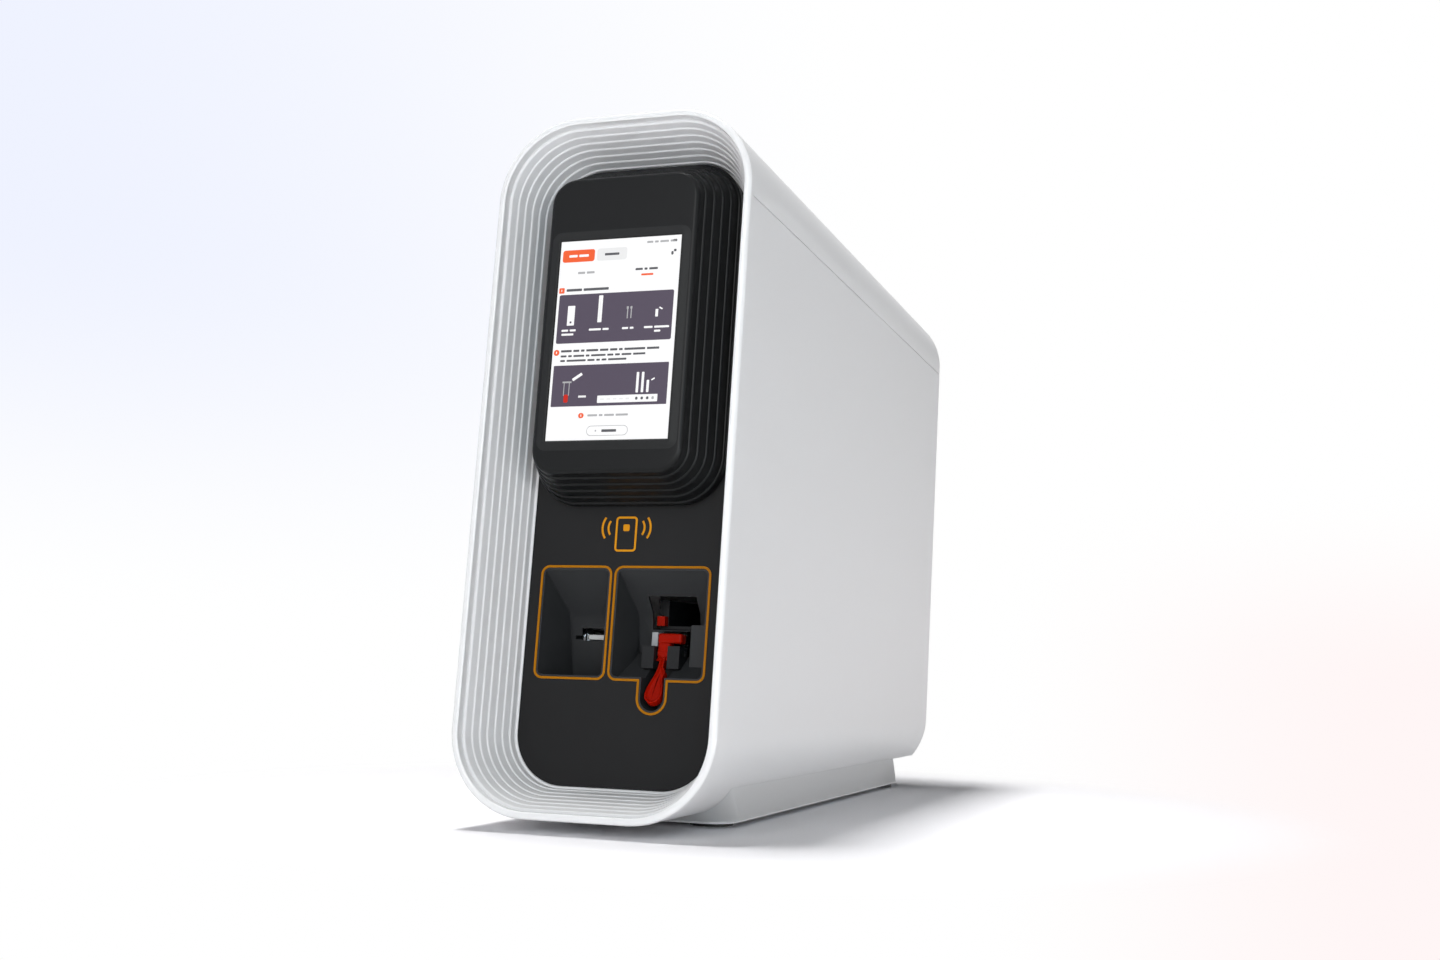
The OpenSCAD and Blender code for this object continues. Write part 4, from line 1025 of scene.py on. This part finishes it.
@dataclass
class ScreenPicture:
    """Generic work steps on the screen: tabs, two picture panels, markers and bars for words."""

    rise: float = 0.02
    glow: float = 0.84
    dim: float = 0.22

    def head(self) -> list[Tile]:
        """Returns the ground, the status line, the tabs and the first step's title."""
        return [
            Tile(0, 0, 1, 1, Tone.WHITE, 0),
            *words(0.72, 0.022, [0.05, 0.03, 0.07, 0.045], Tone.FAINT),
            Tile(0.935, 0.020, 0.03, 0.012, Tone.TEXT),
            Tile(0.02, 0.045, 0.27, 0.062, Tone.ORANGE, 1, 1.6),
            *words(0.075, 0.070, [0.07, 0.08], Tone.WHITE, 0.012, 2),
            Tile(0.31, 0.045, 0.25, 0.062, Tone.MIST, 1, 1.6),
            *words(0.375, 0.070, [0.12], Tone.TEXT, 0.012, 2),
            Tile(0.925, 0.080, 0.018, 0.018, Tone.TEXT, 1, 0.6),
            Tile(0.945, 0.070, 0.02, 0.012, Tone.TEXT),
            *words(0.16, 0.158, [0.06, 0.065], Tone.FAINT, 0.011),
            *words(0.64, 0.155, [0.06, 0.025, 0.07], Tone.TEXT, 0.011),
            Tile(0.69, 0.184, 0.10, 0.010, Tone.ORANGE, 1, 0.5),
            Tile(0.012, 0.236, 0.046, 0.028, Tone.ORANGE, 1, 0.6),
            Tile(0.031, 0.244, 0.006, 0.011, Tone.WHITE, 2),
            *words(0.075, 0.243, [0.13, 0.21], Tone.TEXT, 0.013)]

    def upper_panel(self) -> list[Tile]:
        """Returns the panel with cassette, strip, tips and tube."""
        tips = [tile for u in (0.592, 0.622) for tile in (
            Tile(u, 0.345, 0.016, 0.012, Tone.FAINT, 2),
            Tile(u + 0.005, 0.355, 0.008, 0.050, Tone.FAINT, 2))]
        return [
            Tile(0.02, 0.272, 0.95, 0.246, Tone.PLUM, 1, 1.2),
            Tile(0.10, 0.329, 0.060, 0.099, Tone.WHITE, 2, 0.3),
            Tile(0.122, 0.407, 0.016, 0.010, Tone.PLUM, 3, 0.3),
            Tile(0.355, 0.283, 0.034, 0.135, Tone.WHITE, 2, 0.3),
            Tile(0.368, 0.300, 0.006, 0.10, Tone.MIST, 3),
            *tips,
            Tile(0.830, 0.365, 0.022, 0.038, Tone.WHITE, 2, 0.4),
            Tile(0.858, 0.358, 0.030, 0.007, Tone.WHITE, 2, 0.2, -30),
            *(bar for u, v, lengths in (
                (0.060, 0.448, [0.055, 0.05]), (0.062, 0.468, [0.10]), (0.290, 0.448, [0.10, 0.05]),
                (0.565, 0.448, [0.05, 0.03]), (0.745, 0.448, [0.07, 0.12]), (0.830, 0.468, [0.05]))
              for bar in words(u, v, lengths, Tone.WHITE, level=2))]

    def lower_panel(self) -> list[Tile]:
        """Returns the words and the panel with the sample tube, the strip and its tubes."""
        return [
            Tile(0.010, 0.548, 0.047, 0.030, Tone.ORANGE, 1, 1.8),
            Tile(0.029, 0.557, 0.008, 0.011, Tone.WHITE, 2),
            *words(0.070, 0.551, [0.09, 0.05, 0.03, 0.10, 0.07, 0.06, 0.03, 0.17, 0.10],
                   Tone.TEXT, 0.011),
            *words(0.070, 0.577, [0.05, 0.03, 0.09, 0.03, 0.12, 0.05, 0.04, 0.08, 0.10], Tone.TEXT),
            *words(0.070, 0.600, [0.04, 0.16, 0.06, 0.03, 0.04, 0.15], Tone.TEXT),
            Tile(0.02, 0.628, 0.95, 0.205, Tone.PLUM, 1, 0.5),
            Tile(0.105, 0.708, 0.075, 0.008, Tone.FAINT, 2),
            Tile(0.117, 0.708, 0.006, 0.07, Tone.FAINT, 2),
            Tile(0.160, 0.708, 0.006, 0.07, Tone.FAINT, 2),
            Tile(0.123, 0.773, 0.037, 0.040, Tone.RED, 2, 0.9),
            Tile(0.180, 0.680, 0.090, 0.014, Tone.WHITE, 2, 0.4, 32),
            *words(0.245, 0.780, [0.065], Tone.MIST, level=2),
            Tile(0.715, 0.673, 0.020, 0.100, Tone.WHITE, 2, 0.4),
            Tile(0.757, 0.673, 0.020, 0.100, Tone.WHITE, 2, 0.4),
            Tile(0.800, 0.713, 0.020, 0.060, Tone.WHITE, 2, 0.4),
            Tile(0.835, 0.706, 0.030, 0.007, Tone.WHITE, 2, 0.2, 30),
            Tile(0.405, 0.783, 0.49, 0.036, Tone.WHITE, 2, 0.3),
            *(Tile(0.43 + i * 0.052, 0.797, 0.030, 0.008, Tone.MIST, 3) for i in range(5)),
            *(Tile(0.716 + i * 0.044, 0.794, 0.020, 0.014, Tone.TEXT if i < 3 else Tone.FAINT,
                   3, 0.6) for i in range(4))]

    def foot(self) -> list[Tile]:
        """Returns the last step's title and the button."""
        return [
            Tile(0.258, 0.866, 0.045, 0.026, Tone.ORANGE, 1, 1.6),
            Tile(0.277, 0.874, 0.007, 0.010, Tone.WHITE, 2),
            *words(0.335, 0.874, [0.08, 0.03, 0.08, 0.10], Tone.FAINT),
            Tile(0.335, 0.930, 0.34, 0.050, Tone.FAINT, 1, 3.1),
            Tile(0.339, 0.933, 0.332, 0.044, Tone.WHITE, 2, 2.8),
            Tile(0.405, 0.951, 0.012, 0.008, Tone.FAINT, 3),
            *words(0.46, 0.949, [0.12], Tone.TEXT, 0.013, 3)]

    def lay(self, shaper: Shaper, tile: Tile) -> None:
        """Adds one tile as a thin plate on the glass.

        Args:
            shaper: the mesh to add to.
            tile: the tile.
        """
        x0, y1 = -LCD_W / 2 + tile.u * LCD_W, LCD_LO + LCD_H - tile.v * LCD_H
        x1, y0 = x0 + tile.wide * LCD_W, y1 - tile.high * LCD_H
        radius = min(tile.r, (x1 - x0) / 2.01, (y1 - y0) / 2.01)
        before = set(shaper.bm.verts)
        lift = self.rise * tile.level
        shaper.plate(Ring(x0, y0, x1, y1, radius, -POD_FRONT - 0.1 + lift), self.rise, segments=4)
        if tile.turn:
            bmesh.ops.rotate(shaper.bm, cent=((x0 + x1) / 2, (y0 + y1) / 2, 0),
                             matrix=Matrix.Rotation(math.radians(tile.turn), 3, "Z"),
                             verts=shaper.since(before))

    def build(self, wardrobe: Wardrobe) -> None:
        """Builds the picture."""
        tones = list(Tone)
        materials = [wardrobe.extra(Finish(
            f"picture_{tone.name.lower()}", tone.value, 0.3, tone=0.0, bump=0.0, specular=0.2,
            glow=self.glow, dim=self.dim)) for tone in tones]
        shaper = Shaper()
        for tile in self.head() + self.upper_panel() + self.lower_panel() + self.foot():
            faces = len(shaper.bm.faces)
            self.lay(shaper, tile)
            shaper.paint(tones.index(tile.tone), faces)
        shaper.finish("screen_picture", Place.FRONT, wardrobe, "screen_glass", materials=materials)


@dataclass
class CardSymbol:
    """Printed orange sign of a card between two pairs of waves, above the bays."""

    middle: Span = (-1.3, 180.4)
    card: Ring = Ring(-8.6, 165.4, 6.0, 187.6, 2.4, -PANEL_D - 0.02)
    chip: Ring = Ring(-3.4, 178.4, 0.8, 182.6, 0.9, -PANEL_D - 0.02)
    waves: tuple[Span, Span] = ((12.3, 8.6), (16.4, 13.0))
    bend: float = 0.85
    thick: float = 0.12
    line: float = 1.3

    def arc(self, shaper: Shaper, x: float, high: float, side: float) -> None:
        """Adds one curved bar.

        Args:
            shaper: the mesh to add to.
            x: distance of the bar's middle from the card's middle.
            high: its height.
            side: -1 for the left, 1 for the right.
        """
        radius = high * self.bend
        half = math.asin(0.5 / self.bend)
        before = set(shaper.bm.verts)
        shaper.face(Ring(radius - self.line / 2, -0.005, radius + self.line / 2, 0.005, 0.0))
        start = shaper.since(before)
        edge = [e for v in start for e in v.link_edges if all(w.co.y > 0 for w in e.verts)][:1]
        bmesh.ops.rotate(shaper.bm, verts=start, matrix=Matrix.Rotation(-half, 3, "Z"))
        bmesh.ops.spin(shaper.bm, geom=edge, cent=(0, 0, 0), axis=(0, 0, 1), dvec=(0, 0, 0),
                       angle=2 * half, steps=10, use_merge=False)
        top = shaper.extrude(faces_at(shaper.since(before)))
        bmesh.ops.translate(shaper.bm, vec=(0, 0, self.thick), verts=top)
        made = shaper.since(before)
        bmesh.ops.scale(shaper.bm, vec=(side, 1, 1), verts=made)
        place = (side * (x - radius) + self.middle[0], self.middle[1], self.card.z)
        bmesh.ops.translate(shaper.bm, vec=place, verts=made)

    def build(self, wardrobe: Wardrobe) -> None:
        """Builds the printed sign."""
        shaper = Shaper()
        low, high = self.card.z, self.card.z + self.thick
        shaper.stack([self.card, self.card.inset(0, high), self.card.inset(self.line, high),
                      self.card.inset(self.line, low)], 6, closed=True)
        shaper.plate(self.chip, self.thick)
        for x, tall in self.waves:
            self.arc(shaper, x, tall, 1.0)
            self.arc(shaper, x, tall, -1.0)
        shaper.finish("card_sign", Place.FRONT, wardrobe, "outline_orange",
                      materials=[wardrobe.extra(SIGN_INK)])


@dataclass
class Base:
    """Grey plinth under the casing, with a slanted rear end and a rounded front."""

    low_half: float = 63.0
    top_half: float = 77.2
    low_z: float = -4.6
    top_z: float = 26.8
    low_y: float = 84.0
    top_y: float = 33.3
    low_r: float = 22.0
    top_r: float = 16.0
    contact: Span = (BODY_D - 74.0, 20.8)
    rear: float = BODY_D - 15.0
    spare: float = 60.0
    skirt: float = 0.5
    gap: float = 0.12
    sharp: float = 20.0

    def build(self, wardrobe: Wardrobe) -> None:
        """Builds the plinth and cuts the casing's shape out of it."""
        shaper = Shaper()
        end = self.rear + self.spare
        low = Ring(-self.low_half, self.low_y, self.low_half, end, self.low_r, self.low_z)
        top = Ring(-self.top_half, self.top_y, self.top_half, end, self.top_r, self.top_z)
        shaper.stack([low, low.inset(0.0, self.low_z + self.skirt), top], 16, ends=True)
        slope = Vector((0.0, self.contact[1] - self.low_z, self.rear - self.contact[0]))
        bm = shaper.bm
        cut = bmesh.ops.bisect_plane(bm, geom=list(bm.verts) + list(bm.edges) + list(bm.faces),
                                     dist=1e-4, plane_co=(0, *self.contact),
                                     plane_no=slope.normalized(), clear_outer=True)["geom_cut"]
        bmesh.ops.contextual_create(bm, geom=[g for g in cut if isinstance(g, bmesh.types.BMEdge)])
        piece = shaper.finish("plinth_body", Place.BODY, wardrobe, "plinth_grey", ["plinth"],
                              sharp=self.sharp)
        tube = Shaper()
        tube.stack([UPRIGHT.inset(-self.gap, 80.0), UPRIGHT.inset(-self.gap, -HEEL_Y - 0.1)], 28,
                   ends=True)
        carve(piece, tube, Place.RISE, self.sharp)
        over_heel = Shaper()
        over_heel.box((-BODY_W, HEEL_Y - 1, HEEL_Z - 0.1), (BODY_W, BODY_D + 90, 120.0))
        carve(piece, over_heel, Place.BODY, self.sharp)


@dataclass
class Lever:
    """Glossy red lever: a head beside the channel, a hub on the pin and a dished handle."""

    pivot: Point = (23.6, 103.8, -(PANEL_D + 17.0))
    width: float = 8.0
    lean: float = -26.0
    handle: float = 36.0
    handle_top: float = 3.0
    thick: float = 4.8
    belly: float = 5.7
    neck: float = 1.7
    belly_at: float = 0.19
    taper: float = 0.58
    bulge: float = 1.9
    bulge_from_to: Span = (0.52, 0.78)
    edge: float = 1.3
    dish: tuple[Span, ...] = ((0.0, 0.4), (-0.7, 0.4), (-0.6, 0.6), (-0.2, 0.7))
    hub_r: float = 4.0
    shank: Ring = Ring(-4.0, -1.0, 4.0, 8.0, 1.2, -3.4)
    shank_thick: float = 7.2
    head: Ring = Ring(-4.0, 6.1, 12.0, 12.4, 1.6, -3.4)
    head_thick: float = 8.3

    def half_width(self, t: float) -> float:
        """Returns the handle's half width at a share t of its length from its lower end."""
        if t < self.belly_at:
            rest = (self.belly_at - t) / self.belly_at
            return self.belly * math.sqrt(max(1 - rest**2, 0.0))
        share = min((t - self.belly_at) / self.taper, 1.0)
        return self.belly + (self.neck - self.belly) * share * share * (3 - 2 * share)

    def add_handle(self, shaper: Shaper) -> None:
        """Adds the drop-shaped handle with its bulge on the right and its shallow dish."""
        bm = shaper.bm
        start, end = self.bulge_from_to
        verts = bmesh.ops.create_circle(bm, cap_ends=True, segments=56, radius=1.0)["verts"]
        for vert in verts:
            t = (1 + vert.co.y) / 2
            side = math.copysign(1.0, vert.co.x) if abs(vert.co.x) > 1e-4 else 0.0
            along = -self.handle + t * (self.handle - self.handle_top)
            vert.co = Vector((side * self.half_width(t), along, -self.thick / 2))
            if side > 0 and start < t < end:
                vert.co.x += self.bulge * math.sin(math.pi * (t - start) / (end - start)) ** 2
        top = shaper.extrude([verts[0].link_faces[0]])
        bmesh.ops.translate(bm, vec=(0, 0, self.thick), verts=top)
        lids = [f for f in faces_at(list(verts) + top) if len(f.verts) > 8]
        rims = dict.fromkeys(e for f in lids for e in f.edges)
        near = [f for f in faces_at(shaper.bevel(rims, self.edge, 4, clamp=True))
                if len(f.verts) > 8]
        front = max(near, key=lambda f: f.calc_center_median().z)
        for depth, step in self.dish:
            bmesh.ops.inset_region(bm, faces=[front], thickness=step, depth=depth,
                                   use_even_offset=True)

    def add_hub(self, shaper: Shaper) -> None:
        """Adds the round hub on the pin."""
        verts = bmesh.ops.create_cone(shaper.bm, cap_ends=True, segments=40, radius1=self.hub_r,
                                      radius2=self.hub_r, depth=self.width)["verts"]
        bmesh.ops.rotate(shaper.bm, verts=verts, matrix=Matrix.Rotation(QUARTER, 3, "Y"))
        caps = [f for f in faces_at(verts) if len(f.verts) > 4]
        shaper.bevel(dict.fromkeys(e for f in caps for e in f.edges), 0.5)

    def build(self, wardrobe: Wardrobe) -> None:
        """Builds the lever in one piece on its own body."""
        shaper = Shaper()
        self.add_handle(shaper)
        bmesh.ops.rotate(shaper.bm, cent=(0, 0, 0), verts=shaper.bm.verts,
                         matrix=Matrix.Rotation(math.radians(self.lean), 3, "X"))
        shaper.plate(self.shank, self.shank_thick, 0.9)
        shaper.plate(self.head, self.head_thick, 1.5, bevel_segments=4)
        self.add_hub(shaper)
        bmesh.ops.translate(shaper.bm, vec=self.pivot, verts=shaper.bm.verts)
        shaper.finish("lever_red", Place.FRONT, wardrobe, "lever_red", ["release_lever"], "lever",
                      sharp=50.0)


@dataclass(frozen=True)
class Lamp:
    """A soft area lamp: position, aim and size in metres, power in watts."""

    name: str
    place: Point
    aim: Point
    size: Span
    power: float
    color: Color = (1.0, 1.0, 1.0)

    def build(self) -> None:
        """Adds the lamp, turned to its aim and out of the camera's sight."""
        data = bpy.data.lights.new(self.name, "AREA")
        data.shape = "RECTANGLE"
        data.size, data.size_y = self.size
        data.energy = self.power
        data.color = self.color
        lamp = bpy.data.objects.new(self.name, data)
        lamp.location = self.place
        turn = (Vector(self.aim) - Vector(self.place)).to_track_quat("-Z", "Y")
        lamp.rotation_euler = turn.to_euler()
        lamp.visible_camera = False
        bpy.context.scene.collection.objects.link(lamp)


LAMPS = (
    Lamp("overhead", (-0.78, -0.05, 5.0), (0.0, 0.0, 0.0), (1.3, 0.8), 206.0),
    Lamp("front", (0.1, -2.25, 0.9), (0.0, -0.2, 0.22), (1.2, 1.2), 18.0),
    Lamp("low", (0.6, 0.1, 0.015), (0.0, 0.1, 0.04), (1.2, 0.025), 0.95),
    Lamp("strip", (1.0, -1.8, 0.5), (0.0, -0.26, 0.3), (0.05, 1.0), 4.5, (0.62, 0.85, 1.0)),
    Lamp("fill", (1.5, -1.7, 0.2), (0.0, -0.25, 0.15), (0.5, 0.5), 7.0, (1.0, 0.975, 0.955)),
)


@dataclass
class Studio:
    """Camera, lamps, floor and background."""

    eye: Point = (381.279, -738.824, 88.858)
    yaw: float = 0.288809
    pitch: float = 0.081765
    roll: float = 0.030283
    focal_px: float = 1404.29
    centre_px: Span = (849.976, 561.044)
    image_px: tuple[int, int] = (1440, 960)
    sensor: float = 36.0
    even: float = 0.035
    white: tuple[float, float, float, float] = (1.0, 1.0, 1.0, 1.0)
    cool: tuple[float, float, float, float] = (0.86, 0.89, 1.0, 1.0)
    blush: tuple[float, float, float, float] = (1.0, 0.92, 0.92, 1.0)
    matte: tuple[float, float, float, float] = (0.985, 0.975, 0.995, 1.0)
    cool_left: Span = (-0.25, -0.75)
    cool_above: Span = (0.02, 0.27)
    blush_right: Span = (-0.2, 0.1)
    blush_behind: Span = (0.8, 0.97)
    blush_below: Span = (0.14, 0.0)
    fade: Span = (0.3, 0.46)
    floor_half: float = 40.0

    def camera(self) -> None:
        """Places the camera at the photograph's viewing angle."""
        forward = Vector((-math.sin(self.yaw) * math.cos(self.pitch),
                          math.cos(self.yaw) * math.cos(self.pitch), math.sin(self.pitch)))
        level = Vector((math.cos(self.yaw), math.sin(self.yaw), 0.0))
        up = level.cross(forward)
        right = level * math.cos(self.roll) + up * math.sin(self.roll)
        up = up * math.cos(self.roll) - level * math.sin(self.roll)
        wide, high = self.image_px
        data = bpy.data.cameras.new("photo_camera")
        data.sensor_width = self.sensor
        data.lens = self.focal_px * self.sensor / wide
        data.shift_x = (wide / 2 - self.centre_px[0]) / wide
        data.shift_y = (self.centre_px[1] - high / 2) / wide
        data.clip_start, data.clip_end = 0.01, 100.0
        camera = bpy.data.objects.new("photo_camera", data)
        spin = Matrix((right, up, -forward)).transposed().to_4x4()
        place = Vector((self.eye[0], self.eye[1] + FRONT_Y, self.eye[2] + BODY_Z)) * MM
        camera.matrix_world = Matrix.Translation(place) @ spin
        bpy.context.scene.collection.objects.link(camera)
        bpy.context.scene.camera = camera

    def show(self, graph: Graph, lit: bpy.types.Node, seen: bpy.types.Node,
             share: Source | None = None) -> bpy.types.NodeSocket:
        """Adds a mix of two shaders: one for light, one for camera, glossy and transmission rays.

        Args:
            graph: the graph to add to.
            lit: the shader for the other rays.
            seen: the shader for those three kinds.
            share: how much of the second shader they get, or None for all of it.

        Returns:
            The mixed shader's socket.
        """
        path = graph.add("LightPath", {})
        ray = path.outputs["Is Camera Ray"]
        for kind in ("Is Glossy Ray", "Is Transmission Ray"):
            ray = graph.math("MAXIMUM", ray, path.outputs[kind])
        if share is not None:
            ray = graph.math("MULTIPLY", ray, share)
        return graph.add("MixShader", {0: ray, 1: lit.outputs[0], 2: seen.outputs[0]}).outputs[0]

    def tinted(self, graph: Graph, one: Source, two: Source, base: Source,
               tint: Source) -> bpy.types.NodeSocket:
        """Adds a tint to a colour where two shares are both high.

        Args:
            graph: the graph to add to.
            one: the first share.
            two: the second share.
            base: the colour without the tint.
            tint: the full tint.

        Returns:
            The mixed colour's socket.
        """
        amount = graph.math("MULTIPLY", one, two)
        return graph.add("Mix", {0: amount, 6: base, 7: tint}, data_type="RGBA").outputs[2]

    def world(self) -> None:
        """Sets the even light and the pale backdrop: blue upper left, warm blush low right."""
        world = bpy.data.worlds.new("studio")
        world.use_nodes = True
        graph = Graph(world.node_tree)
        even = graph.nodes["Background"]
        graph.feed(even, {"Color": self.white, "Strength": self.even})
        heading = graph.add("SeparateXYZ", {0: graph.coords("Generated")}).outputs
        left = graph.step(heading["X"], *self.cool_left)
        above = graph.step(heading["Z"], *self.cool_above)
        right = graph.math("MULTIPLY", graph.step(heading["X"], *self.blush_right),
                           graph.step(heading["Y"], *self.blush_behind))
        below = graph.step(heading["Z"], *self.blush_below)
        cool = self.tinted(graph, left, above, self.white, self.cool)
        backdrop = self.tinted(graph, right, below, cool, self.blush)
        seen = graph.add("Background", {"Color": backdrop})
        graph.feed(graph.nodes["World Output"], {"Surface": self.show(graph, even, seen)})
        bpy.context.scene.world = world

    def floor(self) -> None:
        """Adds the pale floor, which keeps the object's shadow and fades into the backdrop."""
        bm = bmesh.new()
        bmesh.ops.create_grid(bm, x_segments=1, y_segments=1, size=self.floor_half)
        floor = add_object("studio_floor", bm)
        material = bpy.data.materials.new("studio_floor")
        material.use_nodes = True
        graph = Graph(material.node_tree)
        graph.nodes.remove(graph.nodes["Principled BSDF"])
        place = graph.coords()
        distance = graph.add("VectorMath", {0: place}, operation="LENGTH").outputs["Value"]
        eye = (self.eye[0] * MM, (self.eye[1] + FRONT_Y) * MM, 0.0)
        away = graph.add("VectorMath", {0: place, 1: eye}, operation="SUBTRACT").outputs[0]
        level = graph.add("VectorMath", {0: away}, operation="NORMALIZE").outputs[0]
        heading = graph.add("SeparateXYZ", {0: level}).outputs
        backdrop = self.tinted(graph, graph.step(heading["X"], *self.blush_right),
                               graph.step(heading["Y"], *self.blush_behind), self.white,
                               self.blush)
        lit = graph.add("BsdfDiffuse", {"Color": self.matte})
        seen = graph.add("Emission", {"Color": backdrop})
        surface = self.show(graph, lit, seen, graph.step(distance, *self.fade))
        graph.feed(graph.nodes["Material Output"], {"Surface": surface})
        floor.data.materials.append(material)

    def build(self) -> None:
        """Builds the studio."""
        bpy.context.scene.view_settings.view_transform = "Standard"
        self.camera()
        for lamp in LAMPS:
            lamp.build()
        self.world()
        self.floor()


def main() -> None:
    """Builds the studio, the materials and every sub-assembly in order."""
    logging.basicConfig(level=logging.INFO, format="%(name)s: %(message)s")
    Studio().build()
    wardrobe = Wardrobe()
    wardrobe.dress_nodes()
    for assembly in (SoftEdges(), Casing(), Surround(), DisplayPod(), ScreenPicture(),
                     CardSymbol(), Lever(), Base()):
        assembly.build(wardrobe)


if __name__ == "__main__":
    main()
